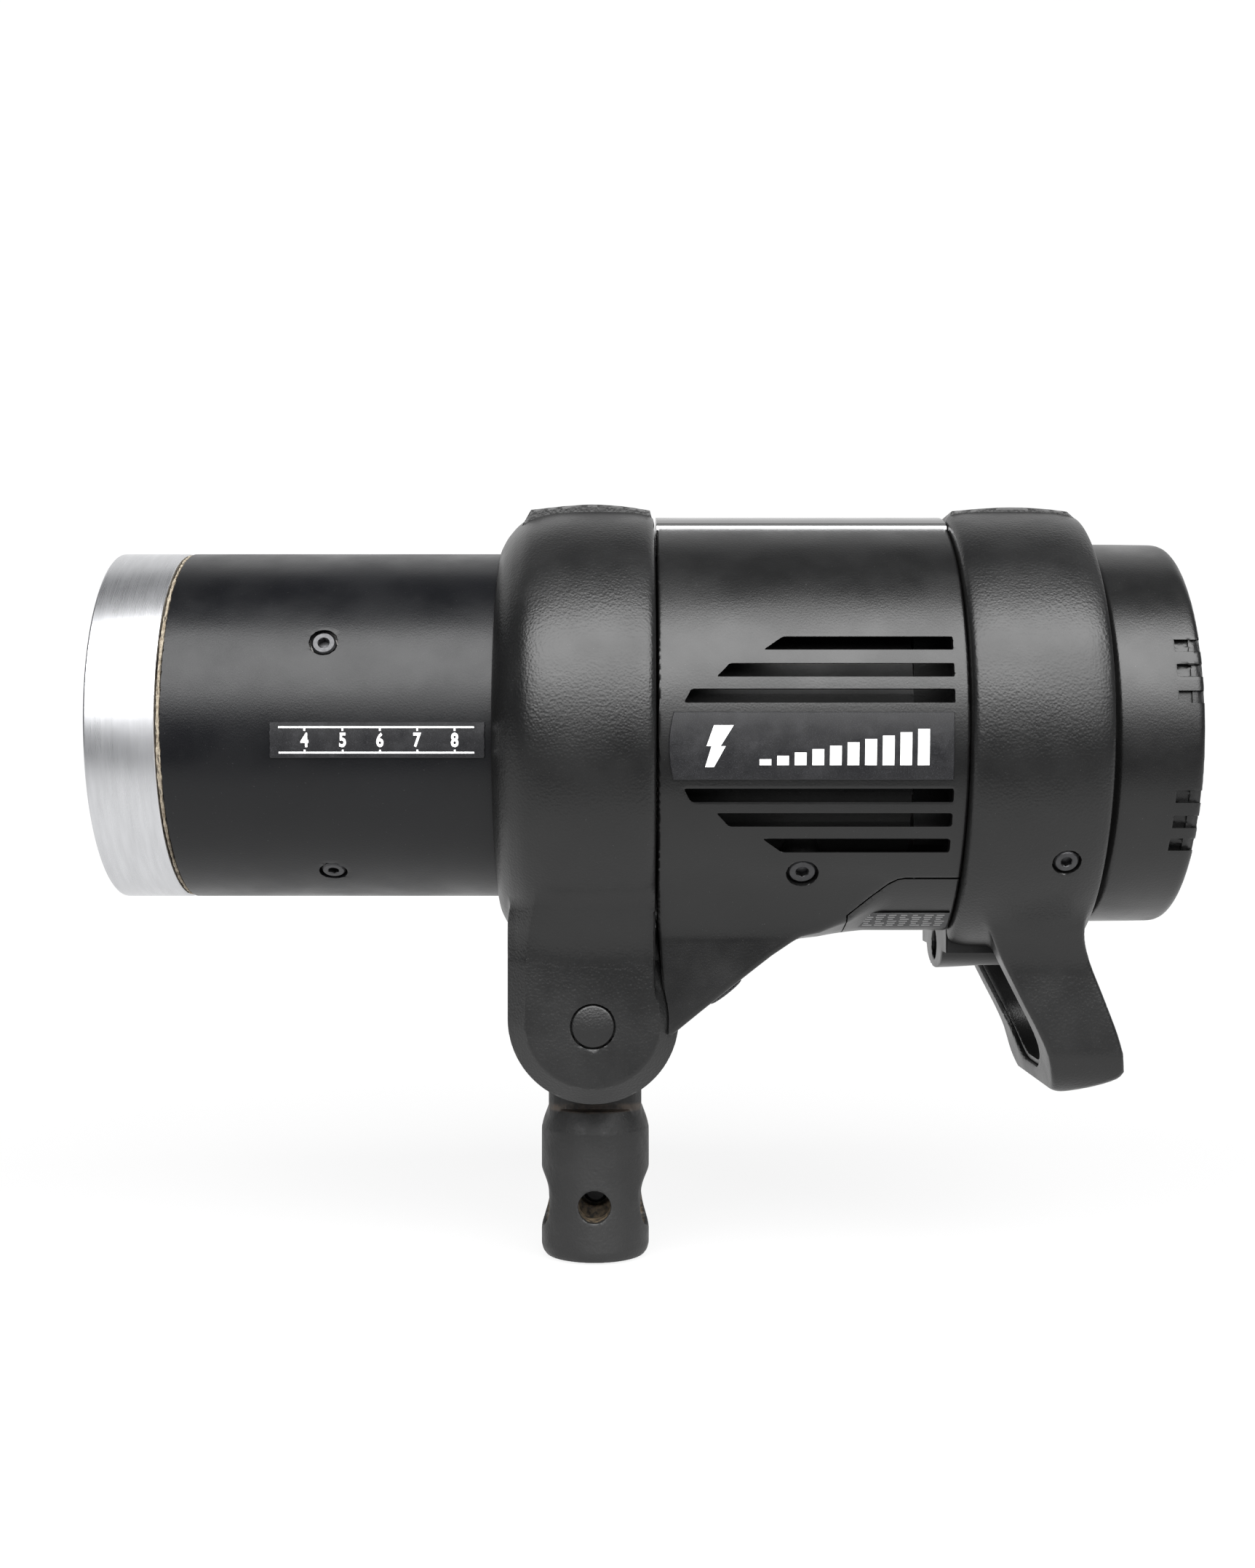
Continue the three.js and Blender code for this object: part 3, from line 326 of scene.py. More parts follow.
def piece(name, shape, slot, body="head", sharp=0.7, material=None):
    """A mesh object that rides on a body of the frame and stands for the node of its name."""
    vertices, faces = shape
    mesh = bpy.data.meshes.new(name)
    faces = np.asarray(faces, np.int32)
    mesh.vertices.add(len(vertices))
    mesh.vertices.foreach_set("co", (np.asarray(vertices) * MM).astype(np.float32).ravel())
    mesh.loops.add(faces.size)
    mesh.loops.foreach_set("vertex_index", faces.ravel())
    mesh.polygons.add(len(faces))
    mesh.polygons.foreach_set("loop_start", np.arange(0, faces.size, faces.shape[1], dtype=np.int32))
    mesh.update(calc_edges=True)
    mesh.validate()
    mesh.shade_smooth()
    mesh.set_sharp_from_angle(angle=sharp)
    mesh.materials.append(material or MATERIALS[slot])
    obj = bpy.data.objects.new(name, mesh)
    bpy.context.scene.collection.objects.link(obj)
    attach(obj, body)
    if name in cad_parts:
        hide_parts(name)


def mirrored(shape):
    vertices, quads = shape
    return vertices * (1, -1, 1), quads[:, ::-1]


def moved(shape, matrix):
    """A shape carried by a 4x4 matrix, in millimetres."""
    vertices, quads = shape
    turn = np.array(matrix.to_3x3())
    return vertices @ turn.T + np.array(matrix.translation), quads


# ---- Materials


class Nodes:
    """A short way to wire shader nodes."""

    def __init__(self, name):
        self.material = bpy.data.materials.new(name)
        self.material.use_nodes = True
        self.tree = self.material.node_tree
        self.shader = self.tree.nodes["Principled BSDF"]
        self.place = self.add("ShaderNodeTexCoord").outputs["Object"]

    def add(self, kind, **settings):
        node = self.tree.nodes.new(kind)
        for key, value in settings.items():
            setattr(node, key, value)
        return node

    def link(self, source, socket):
        if isinstance(source, (int, float, tuple)):
            socket.default_value = source
        else:
            self.tree.links.new(source, socket)

    def maths(self, operation, a, b=0.0, clamp=False):
        node = self.add("ShaderNodeMath", operation=operation, use_clamp=clamp)
        self.link(a, node.inputs[0])
        self.link(b, node.inputs[1])
        return node.outputs[0]

    def texture(self, kind, output, vector=None, settings=None, **inputs):
        """Adds a texture node; each input is named as on the node, with _ for a space."""
        node = self.add(kind, **(settings or {}))
        self.link(self.place if vector is None else vector, node.inputs["Vector"])
        for key, value in inputs.items():
            node.inputs[key.replace("_", " ")].default_value = value
        return node.outputs[output]

    def noise(self, scale, detail=3.0, roughness=0.55, vector=None):
        return self.texture("ShaderNodeTexNoise", "Fac", vector, Scale=scale, Detail=detail,
                            Roughness=roughness)

    def cells(self, scale, smooth=0.6):
        return self.texture("ShaderNodeTexVoronoi", "Distance", settings={"feature": "SMOOTH_F1"},
                            Scale=scale, Smoothness=smooth)

    def spread(self, value, low, high, from_low=0.0, from_high=1.0):
        """Maps from_low..from_high onto low..high and holds the ends."""
        node = self.add("ShaderNodeMapRange", clamp=True)
        self.link(value, node.inputs["Value"])
        ends = {"From Min": from_low, "From Max": from_high, "To Min": low, "To Max": high}
        for key, end in ends.items():
            node.inputs[key].default_value = end
        return node.outputs["Result"]

    def mixed(self, factor, a, b):
        node = self.add("ShaderNodeMix", data_type="RGBA")
        self.link(factor, node.inputs["Factor"])
        colours = [s for s in node.inputs if s.type == "RGBA"]
        self.link(a, colours[0])
        self.link(b, colours[1])
        return [s for s in node.outputs if s.type == "RGBA"][0]

    def split_place(self):
        """The piece's own X, Y and Z."""
        node = self.add("ShaderNodeSeparateXYZ")
        self.link(self.place, node.inputs[0])
        return node.outputs

    def round_axis(self, centre_z, per_metre, per_radian):
        """A texture space that runs along the lamp's axis and round it."""
        station, y, z = self.split_place()
        angle = self.maths("ARCTAN2", y, self.maths("SUBTRACT", z, centre_z * MM))
        node = self.add("ShaderNodeCombineXYZ")
        self.link(self.maths("MULTIPLY", station, per_metre), node.inputs[0])
        self.link(self.maths("MULTIPLY", angle, per_radian), node.inputs[1])
        return node.outputs[0]

    def bump(self, height, depth_mm):
        node = self.add("ShaderNodeBump")
        node.inputs["Distance"].default_value = depth_mm * MM
        self.link(height, node.inputs["Height"])
        self.link(node.outputs["Normal"], self.shader.inputs["Normal"])

    def set(self, **values):
        for key, value in values.items():
            self.link(value, self.shader.inputs[key.replace("_", " ")])


def grey(level, warm=0.0):
    return (level * (1 + warm), level, level * (1 - warm), 1.0)


def shade(colour, factor):
    return tuple(channel * factor for channel in colour[:3]) + (1.0,)


def moulded(name, colour, roughness, grain_mm, depth_mm, wear=0.35, level=0.5):
    """Moulded or painted surface: fine grain, patches of polish and faint dust."""
    n = Nodes(name)
    patches = n.noise(28, 4)
    fine = n.noise(900 / grain_mm, 2)
    grain = n.cells(700 / grain_mm)
    height = n.maths("ADD", n.maths("MULTIPLY", grain, 1.2), n.maths("MULTIPLY", fine, 0.6))
    tint = n.mixed(n.spread(patches, 0, 1, 0.35, 0.65), shade(colour, 1 - 0.5 * wear),
                   shade(colour, 1 + wear))
    dust = n.spread(n.noise(2600, 1, 0.4), 0, 0.4, 0.76, 0.82)
    n.set(Base_Color=n.mixed(dust, tint, grey(0.1)),
          Roughness=n.spread(n.noise(60, 5), roughness - 0.05, roughness + 0.05, 0.35, 0.65),
          Specular_IOR_Level=level)
    n.bump(height, depth_mm)
    return n.material


def brushed(name, colour, roughness, centre_z):
    """Turned metal: fine lines that run round the lamp's axis."""
    n = Nodes(name)
    fine = n.noise(1, 2, 0.6, n.round_axis(centre_z, 6500, 1.1))
    wide = n.noise(1, 4, 0.6, n.round_axis(centre_z, 500, 2.5))
    smudge = n.noise(45, 4)
    tangent = n.add("ShaderNodeTangent", direction_type="RADIAL", axis="X")
    rough = n.maths("ADD", n.spread(fine, roughness - 0.03, roughness + 0.03, 0.3, 0.7),
                    n.spread(smudge, -0.01, 0.03, 0.4, 0.7))
    n.set(Base_Color=n.mixed(n.spread(wide, 0, 1, 0.3, 0.7), shade(colour, 0.86), colour),
          Metallic=1.0, Roughness=rough, Anisotropic=0.65, Tangent=tangent.outputs[0])
    n.bump(fine, 0.0012)
    return n.material


def metal(name, colour, roughness, blotch=0.25, grain=1400, depth_mm=0.006):
    n = Nodes(name)
    patches = n.spread(n.noise(260, 4), 0, 1, 0.3, 0.7)
    n.set(Base_Color=n.mixed(patches, shade(colour, 1 - blotch), colour), Metallic=1.0,
          Roughness=n.spread(n.noise(grain, 3), roughness - 0.06, roughness + 0.1, 0.3, 0.7))
    n.bump(n.noise(grain, 3), depth_mm)
    return n.material


def gasket_material():
    """Worn cork-like seal: tan and grey fibres with thin dark lines along it."""
    n = Nodes("gasket")
    fibres = n.noise(1, 5, 0.7, n.round_axis(TUBE_Z, 3500, 16))
    fray = n.noise(900, 4, 0.7)
    tan = n.mixed(n.spread(fray, 0, 1, 0.35, 0.65), (0.16, 0.125, 0.085, 1), (0.42, 0.37, 0.29, 1))
    n.set(Base_Color=n.mixed(n.spread(fibres, 1, 0, 0.38, 0.5), tan, (0.02, 0.017, 0.014, 1)),
          Roughness=0.9)
    n.bump(n.maths("ADD", fibres, fray), 0.15)
    return n.material


def label_material(name, colour, speckle):
    """Printed film: satin, with fine speckle and rubbed patches."""
    n = Nodes(name)
    dots = n.noise(3800, 2, 0.6)
    rubbed = n.noise(160, 5, 0.65)
    tint = n.mixed(n.spread(dots, 0, 0.8, 0.5, 0.72), colour, speckle)
    n.set(Base_Color=n.mixed(n.spread(rubbed, 0, 0.35, 0.55, 0.75), tint, speckle),
          Roughness=n.spread(rubbed, 0.36, 0.5, 0.35, 0.65))
    n.bump(n.noise(5200, 2), 0.008)
    return n.material


def glass_material(name, roughness, tint, weight):
    n = Nodes(name)
    n.set(Base_Color=tint, Roughness=n.spread(n.noise(300, 3), roughness, roughness + 0.08),
          Transmission_Weight=weight, IOR=1.47)
    n.bump(n.noise(1800, 2), 0.004)
    return n.material


def board_material():
    """Circuit board: green lacquer over a maze of copper tracks and small parts."""
    n = Nodes("circuit_board")
    lacquer = (0.012, 0.075, 0.035, 1)
    tracks = n.add("ShaderNodeTexBrick")
    n.link(n.place, tracks.inputs["Vector"])
    looks = {"Scale": 160, "Mortar Size": 0.04, "Color1": lacquer,
             "Color2": (0.016, 0.095, 0.045, 1), "Mortar": (0.05, 0.16, 0.07, 1)}
    for key, value in looks.items():
        tracks.inputs[key].default_value = value
    n.set(Base_Color=tracks.outputs["Color"], Roughness=n.spread(n.noise(500), 0.35, 0.55))
    n.bump(tracks.outputs["Fac"], 0.05)
    return n.material


def adapter_material():
    """Grainy powder coat that has rubbed brown where the adapter meets the lugs."""
    n = Nodes("stand_black")
    x, y, z = n.split_place()
    grain = n.noise(1500, 3, 0.6)
    lumps = n.cells(1100, 0.8)
    patches = n.noise(70, 4)
    base = n.mixed(n.spread(patches, 0, 1, 0.35, 0.65), grey(0.0065), grey(0.0105))
    on_ledge = n.maths("MULTIPLY", n.spread(z, 0, 1, 0.0425, 0.0431),
                       n.spread(z, 1, 0, 0.0442, 0.0452))
    rub = n.maths("MULTIPLY", on_ledge, n.spread(n.noise(420, 5), 0.2, 1, 0.35, 0.62))
    away = n.maths("ABSOLUTE", n.maths("SUBTRACT", z, LOCK_Z * MM))
    radius = n.maths("SQRT", n.maths("ADD", n.maths("MULTIPLY", x, x),
                                     n.maths("MULTIPLY", y, y)))
    in_socket = n.maths("MULTIPLY", n.spread(radius, 1, 0, 0.0132, 0.0146),
                        n.spread(away, 1, 0, 0.0085, 0.0095))
    tarnish = n.maths("MULTIPLY", in_socket, n.spread(n.noise(600, 5), 0.1, 1, 0.4, 0.6))
    worn = n.mixed(rub, base, (0.06, 0.045, 0.034, 1))
    n.set(Base_Color=n.mixed(tarnish, worn, (0.16, 0.12, 0.075, 1)),
          Roughness=n.spread(n.noise(240, 4), 0.5, 0.62, 0.35, 0.65))
    n.bump(n.maths("ADD", grain, n.maths("MULTIPLY", lumps, 0.8)), 0.09)
    return n.material


MATERIALS = {
    "stand_black": adapter_material(),
    "soft_black": moulded("soft_black", grey(0.0045), 0.37, 0.5, 0.05),
    "satin_black": moulded("satin_black", grey(0.004), 0.34, 0.4, 0.02),
    "gloss_black": moulded("gloss_black", grey(0.004), 0.12, 0.6, 0.004, 0.1),
    "tube_black": moulded("tube_black", (0.002, 0.0022, 0.003, 1), 0.36, 0.35, 0.014, 0.2,
                          level=0.36),
    "bare_aluminium": brushed("bare_aluminium", (0.64, 0.645, 0.66, 1), 0.29, TUBE_Z),
    "reflector": metal("reflector", (0.85, 0.85, 0.85, 1), 0.2, 0.05),
    "dark_steel": metal("dark_steel", (0.085, 0.085, 0.088, 1), 0.42),
    "bright_steel": metal("bright_steel", (0.55, 0.55, 0.54, 1), 0.26),
    "bright_trim": metal("bright_trim", (0.85, 0.85, 0.86, 1), 0.14, 0.06),
    "gasket": gasket_material(),
    "frosted_glass": glass_material("frosted_glass", 0.45, (0.93, 0.94, 0.93, 1), 0.6),
    "clear_glass": glass_material("clear_glass", 0.02, (0.95, 0.97, 0.97, 1), 0.9),
    "ceramic": moulded("ceramic", grey(0.74, 0.03), 0.55, 0.8, 0.02, 0.08),
    "circuit_board": board_material(),
    "can_grey": moulded("can_grey", grey(0.09), 0.35, 0.8, 0.01, 0.2),
    # The sleeve behind the vents is coloured near black, as dark as the shells: painted shade standing
    # for the dark inside of the vents.
    "insulation": moulded("insulation", grey(0.004), 0.6, 0.6, 0.04, 0.2),
    "label_film": label_material("label_film", (0.0055, 0.0055, 0.0065, 1), (0.03, 0.03, 0.034, 1)),
}
PRINT_WHITE = label_material("print_white", (0.86, 0.86, 0.86, 1), (0.8, 0.8, 0.8, 1))
PRINT_GREY = label_material("print_grey", (0.3, 0.3, 0.3, 1), (0.2, 0.2, 0.2, 1))


# ---- Frame

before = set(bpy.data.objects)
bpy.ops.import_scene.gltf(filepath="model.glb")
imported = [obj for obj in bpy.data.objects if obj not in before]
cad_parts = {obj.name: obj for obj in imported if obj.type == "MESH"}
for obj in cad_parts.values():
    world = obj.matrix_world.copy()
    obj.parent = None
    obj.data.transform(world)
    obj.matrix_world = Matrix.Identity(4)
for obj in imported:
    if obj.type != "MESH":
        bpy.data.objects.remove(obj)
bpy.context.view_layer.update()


def solid(field, low, high, cell):
    """Contours a field between two corners, with a little room round them."""
    cell *= 1.0
    room = 2.2 * cell
    return contour(field, np.array(low, float) - room, np.array(high, float) + room, cell)


def build(name, field, low, high, cell, slot, body="head"):
    """Contours a field and shows it in place of the node of the same name."""
    piece(name, solid(field, low, high, cell), slot, body)


# ---- Stand adapter

ADAPTER_PROFILE = profile([(-2, 13.6), (0, 14.4), (1.2, 15.2), (2.6, 15.6), (4, 15.7), (20, 15.7),
                           (35.2, 15.7), (37.6, 15.5), (39.6, 15.0), (41.4, 14.35), (43.1, 13.7)])
ADAPTER_R = 15.7
ADAPTER_TOP = 43.1
SOCKET_R = 8.1
SOCKET_TOP = 38
EYE_R = 13.5
TONGUE_HALF = 9
TONGUE_R = 14.6
SCOOP_X = 21.4
SCOOP_Z = 18.5
SCOOP_R = 8
SCOOP_FALL = 0.62
POCKET_Y = -2.5
POCKET_Z = 13.9
POCKET_R = 5.6
POCKET_END = 2.2
CROSS_HOLE_R = 4.65


def stand_adapter(x, y, z):
    r = length(x, y)
    barrel = meet(ADAPTER_PROFILE(z, r), slab(z, 0, ADAPTER_TOP), 0.35)
    eye = join(length(x, z - PIVOT_Z) - EYE_R, np.maximum(np.abs(x) - EYE_R, slab(z, 30, PIVOT_Z)))
    tongue = meet(eye, np.abs(y) - TONGUE_HALF, 0.6)
    tongue = meet(tongue, r - TONGUE_R, 0.4)
    whole = join(barrel, tongue, 0.5)
    whole = carve(whole, np.maximum(r - SOCKET_R, z - SOCKET_TOP), 0.5)
    above = z - SCOOP_Z
    scoop = length(np.abs(x) - SCOOP_X, np.where(above > 0, above, SCOOP_FALL * above)) - SCOOP_R
    whole = carve(whole, scoop, 1.2)
    pocket = np.maximum(length(y - POCKET_Y, z - POCKET_Z) - POCKET_R, y - POCKET_END)
    whole = carve(whole, pocket, 0.35)
    whole = carve(whole, length(x, z - LOCK_Z) - CROSS_HOLE_R, 0.45)
    return carve(whole, length(x, z - PIVOT_Z) - AXLE_HOLE_R, 0.3)


build("stand_adapter", stand_adapter, (-ADAPTER_R, -ADAPTER_R, 0),
      (ADAPTER_R, ADAPTER_R, PIVOT_Z + EYE_R), 0.5, "stand_black", "stand")


# ---- Front collar

COLLAR_PROFILE = profile([(-27, 52.3), (-25.9, 54.7), (-24.3, 57.3), (-21.3, 60.5), (-17, 63.2),
                          (-10, 64.7), (0, 65), (10, 64.8), (14.5, 64.2), (16.4, 63.3),
                          (17, 62.4)])
FRONT_PAD = polygon([(-21.6, 208.6), (-17.9, 215.1),
                     *spline([(-9, 216.1), (-0.8, 216.6), (8, 216.1), (15.8, 214.9)], 3),
                     (16.9, 210.4), (-14, 210.4), (-18, 208.6)])
LIGHT_LIP = polygon([(14, 104), (14, 86), (18.46, 86), (17.67, 95.5), (17.15, 95.5), (17.15, 104)])
COLLAR_FRONT = -27
COLLAR_BACK = 17
COLLAR_CELL = 0.8
COLLAR_FLARE = 11
BEVEL_GROWTH = 3.2
NECK_SINK = 2.4
TUBE_SEAT_R = TUBE_R + 0.7
BODY_SEAT_R = 57.2
CAP_HOLE_R = 6.25
CAP_R = 5.85
CAP_DEPTH = 2.2


def lug_disc(x, y, z, clearance):
    return bevelled(length(x, z - LUG_Z) - LUG_R - 2 * clearance,
                    np.abs(y) - NECK_HALF - clearance, LUG_BEVEL)


def front_collar(x, y, z):
    side = np.abs(y)
    r = length(y, z - BODY_Z)
    whole = COLLAR_PROFILE(x, r)
    under_pad = np.maximum(side - PAD_HALF + PAD_SINK, np.maximum(211 - z, -18.5 - x))
    whole = carve(whole, under_pad)
    bevel = LUG_BEVEL + BEVEL_GROWTH * ramp(z, 88, 22)
    flare = join(whole, side - NECK_HALF, COLLAR_FLARE)
    neck = bevelled(flare, -LUG_R - x, bevel) + NECK_SINK * smooth_ramp(z, 98, 16)
    neck = np.maximum(neck, slab(z, LUG_Z, 120))
    whole = join(whole, neck, 1.2)
    whole = meet(whole, slab(x, COLLAR_FRONT, COLLAR_BACK), 0.5)
    whole = join(whole, meet(LIGHT_LIP(x, z), side - 34, 0.3))
    whole = join(whole, lug_disc(x, y, z, 0))
    whole = carve(whole, rod_x(x, y, z, (0, TUBE_Z), TUBE_SEAT_R, -40, -10), 0.5)
    whole = carve(whole, rod_x(x, y, z, (0, BODY_Z), BODY_SEAT_R, -15, 40))
    whole = carve(whole, np.maximum(side - SLOT_HALF, z - SLOT_TOP), 0.8)
    whole = carve(whole, length(x, z - PIVOT_Z) - AXLE_HOLE_R)
    cap_hole = rod_y(x, y, z, (0, PIVOT_Z), CAP_HOLE_R, -60, CAP_DEPTH - NECK_HALF)
    whole = carve(whole, cap_hole, 0.35)
    return carve(whole, length(y, z - UMBRELLA_Z) - UMBRELLA_R, 0.3)


def padded(name, field, low, high, outline):
    """A collar with the flat pad on its crown, which is contoured finer for its crisp edges."""
    def pad(x, y, z):
        return meet(outline(x, z), np.abs(y) - PAD_HALF, 0.45)
    top = solid(pad, (low[0], -PAD_HALF, 203), (high[0], PAD_HALF, CROWN_Z), 0.45)
    piece(name, merged([solid(field, low, high, COLLAR_CELL), top]), "soft_black")


padded("front_collar", front_collar, (COLLAR_FRONT, -65, 46.4), (24.6, 65, CROWN_Z), FRONT_PAD)


def pivot_cap(x, y, z):
    r = length(x, z - PIVOT_Z)
    dome = -NECK_HALF - 0.45 + 0.018 * r * r - y
    return meet(meet(r - CAP_R, dome, 0.45), y + NECK_HALF - CAP_DEPTH + 0.1, 0.2)


build("pivot_cap", pivot_cap, (-5.9, -40.6, 65), (5.9, -37.8, 77), 0.3, "soft_black")


# ---- Body

BELLY = polygon([(0, 120), (0, 51.8), (20.3, 67.3), *spline([(29, 74.4), (38.9, 82.3), (49, 90.2)], 3),
                 (57, 95.6), (62, 97), (69, 101), (75, 110), (75, 120)])
BELLY_ROOM = polygon([(24, 114), (24, 75.2), (54.5, 98.8), (66, 104), (70, 114)])
COVER = polygon([(69.3, 60), (69.3, 101.5), (76, 107.2), (80, 110.4), (82.2, 111.6), (84.5, 112),
                 (130, 112), (130, 60)])
VENT_BACK = 95.3
STRIP_RISE = 0.8
VENT_HALF = 1.8
VENT_DEPTH_Y = 48
TRIM = 0.8
BELLY_FILLET = 9
SCREW_BOSS_R = 5.4
SCREW_SINK_R = 4.35
TONGUE_ROOM_R = 32.5
THUMB_HOLE_R = 2.9
# Each vent: height, where its slanted end starts inside and outside, and which way is outside.
VENTS = [(160.4, 24.2, 26.2, 1), (167.3, 32.9, 36.4, 1), (174.5, 45.3, 50.5, 1),
         (134.3, 24.2, 26.2, -1), (127.8, 32.9, 36.4, -1), (120.9, 45.3, 50.5, -1)]


def vent_outline(z, tip, far, up):
    inner, outer = z - up * VENT_HALF, z + up * VENT_HALF
    outline = [(tip, inner), (VENT_BACK, inner), (VENT_BACK, outer), (far, outer)]
    return polygon(rounded_outline(outline, 0.7, 3))


VENT_OUTLINES = [vent_outline(*vent) for vent in VENTS]


def along_thumb(x, y, z):
    """Distance into the belly along the umbrella clamp screw, and distance from its axis."""
    dx, dz = x - THUMB_AT[0], z - THUMB_AT[2]
    along = dx * THUMB_IN[0] + dz * THUMB_IN[2]
    across = dx * THUMB_IN[2] - dz * THUMB_IN[0]
    return along, length(across, y)


def casing(x, y, z):
    side = np.abs(y)
    r = length(y, z - BODY_Z)
    barrel = meet(r - BODY_R, BODY_FLAT_Z - z, 1.2)
    belly = meet(BELLY(x, z), side - BELLY_HALF, 1.2)
    outer = join(barrel, belly, BELLY_FILLET)
    front = BODY_FRONT + 0.0826 * np.maximum(100 - z, 0)
    outer = meet(outer, np.maximum(front - x, x - BODY_BACK), 0.9)
    room = np.maximum(r - BODY_R + SHELL, BODY_FLAT_Z + SHELL - z)
    room = np.minimum(room, np.maximum(BELLY_ROOM(x, z), side - BELLY_HALF + SHELL))
    wall = carve(outer, room)
    screw = (x, y, z, BODY_SCREW[0], BODY_Z, BODY_SCREW[1])
    wall = join(wall, radial_rod(*screw, SCREW_BOSS_R, 52, 60.5))
    wall = carve(wall, radial_rod(*screw, SCREW_SINK_R, 58.6, 66), 0.25)
    wall = carve(wall, lug_disc(x, y, z, 0.2), 0.3)
    tongue_room = np.maximum(length(x, z - PIVOT_Z) - TONGUE_ROOM_R, side - SLOT_HALF)
    wall = carve(wall, np.maximum(tongue_room, z - SLOT_TOP))
    wall = carve(wall, length(y, z - UMBRELLA_Z) - UMBRELLA_R)
    along, across = along_thumb(x, y, z)
    wall = carve(wall, np.maximum(across - THUMB_HOLE_R, np.abs(along) - 12))
    vents = VENT_OUTLINES[0](x, z)
    for outline in VENT_OUTLINES[1:]:
        vents = np.minimum(vents, outline(x, z))
    return carve(wall, np.maximum(vents, VENT_DEPTH_Y - side), 0.22)


def strip_region(y, z, half):
    return np.maximum(np.abs(y) - half, 190 - z)


def side_shell(x, y, z):
    shell = carve(casing(x, y, z), strip_region(y, z, STRIP_HALF + 0.25), 0.3)
    shell = carve(shell, COVER(x, z), 0.25)
    return np.maximum(shell, y + 0.15)


def top_strip(x, y, z):
    """Stands proud of the shells, between two polished edge trims."""
    band = slab(length(y, z - BODY_Z), BODY_R - SHELL, BODY_R + STRIP_RISE)
    band = np.maximum(band, slab(x, BODY_FRONT, BODY_BACK))
    return meet(band, strip_region(y, z, STRIP_HALF - TRIM), 0.25)


def strip_trim(x, y, z):
    """A thin upright strip along each long edge of the glossy one."""
    trim = slab(np.abs(y), STRIP_HALF - TRIM + 0.02, STRIP_HALF)
    trim = np.maximum(trim, slab(x, BODY_FRONT, BODY_BACK))
    return meet(trim, slab(length(y, z - BODY_Z), BODY_R - 0.6, BODY_R + 0.55), 0.18)


def bottom_cover(x, y, z):
    return meet(casing(x, y, z), COVER(x, z) + 0.3, 0.25)


half = solid(side_shell, (17, -62, 66), (99.5, 0, 214.5), 0.7)
piece("main_body_left", half, "satin_black")
piece("main_body_right", mirrored(half), "satin_black")
build("top_strip", top_strip, (17, -24, 205), (99.5, 24, 215.1), 0.5, "gloss_black")
trims = merged([solid(strip_trim, (17, y0, 208), (99.5, y0 + 1.4, 211), 0.25)
                for y0 in (-24.2, 22.8)])
piece("top_strip_trim", trims, "bright_steel", material=MATERIALS["bright_trim"])
build("bottom_cover", bottom_cover, (61, -50, 95), (99.5, 50, 112), 0.7, "satin_black")


def knurled(r, angle, radius, depth, ridges):
    return r - radius - depth * np.cos(ridges * angle)


def umbrella_screw_head(x, y, z):
    along, across = along_thumb(x, y, z)
    dx, dz = x - THUMB_AT[0], z - THUMB_AT[2]
    angle = np.arctan2(dx * THUMB_IN[2] - dz * THUMB_IN[0], y)
    grip = knurled(across, angle, 5.8, 0.12, 28)
    return meet(grip, slab(along, -4.2, -1.2), 0.7)


build("umbrella_screw_head", umbrella_screw_head, (30, -6.2, 70), (45, 6.2, 85), 0.3, "dark_steel",
      "umbrella_knob")


# ---- Rear collar and handle

REAR_PROFILE = profile([(99.5, 62.2), (100.2, 63.4), (101.6, 64.2), (106, 64.8), (118, 65),
                        (128, 64.8), (132.5, 64.3), (135.5, 63.5), (136.8, 62.8), (137.4, 62)])
REAR_PAD = polygon([(99.6, 209.4), (99.6, 210.8), (101.4, 214.7),
                    *spline([(109, 215.4), (118, 215.8), (127, 215.4), (134, 214.6)], 3),
                    (136.9, 212), (137.1, 209.4)])
HANDLE_SIDE = polygon([
    (99.5, 125), (99.5, 112),
    *spline([(100.8, 111), (107, 101), (114, 87), (119.8, 75.5), (123.4, 68.5), (126.2, 62),
             (127.8, 55)], 4),
    *spline([(128.8, 51.2), (131, 50.2), (134, 50.5), (141, 52.6), (146, 54.8), (147.7, 57)], 3),
    *spline([(147.0, 62.5), (145.2, 68.6), (141.5, 78.3), (137.6, 88.2), (135.4, 96), (135.6, 104),
             (137, 112)], 4),
    (137, 125)])
HANDLE_HALF = 32
HANDLE_FOOT = 49.5
HANDLE_CORNER = 14
CORNER_Z = HANDLE_FOOT + HANDLE_CORNER
CORNER_Y = HANDLE_HALF - HANDLE_CORNER
SPREAD_FROM = 84
SPREAD_OVER = 20
SPREAD = 11.3
ROOM_HALF = 22
REAR_FRONT = 99.5
REAR_SEAT_R = 56


def legs(z, side):
    """Distance to the handle's two outer sides, which spread upwards to the collar's width."""
    t = np.clip((z - SPREAD_FROM) / SPREAD_OVER, 0, 1.2)
    steep = 2 * SPREAD / SPREAD_OVER * t
    return (side - HANDLE_HALF - SPREAD * t * t) / np.sqrt(1 + steep * steep)


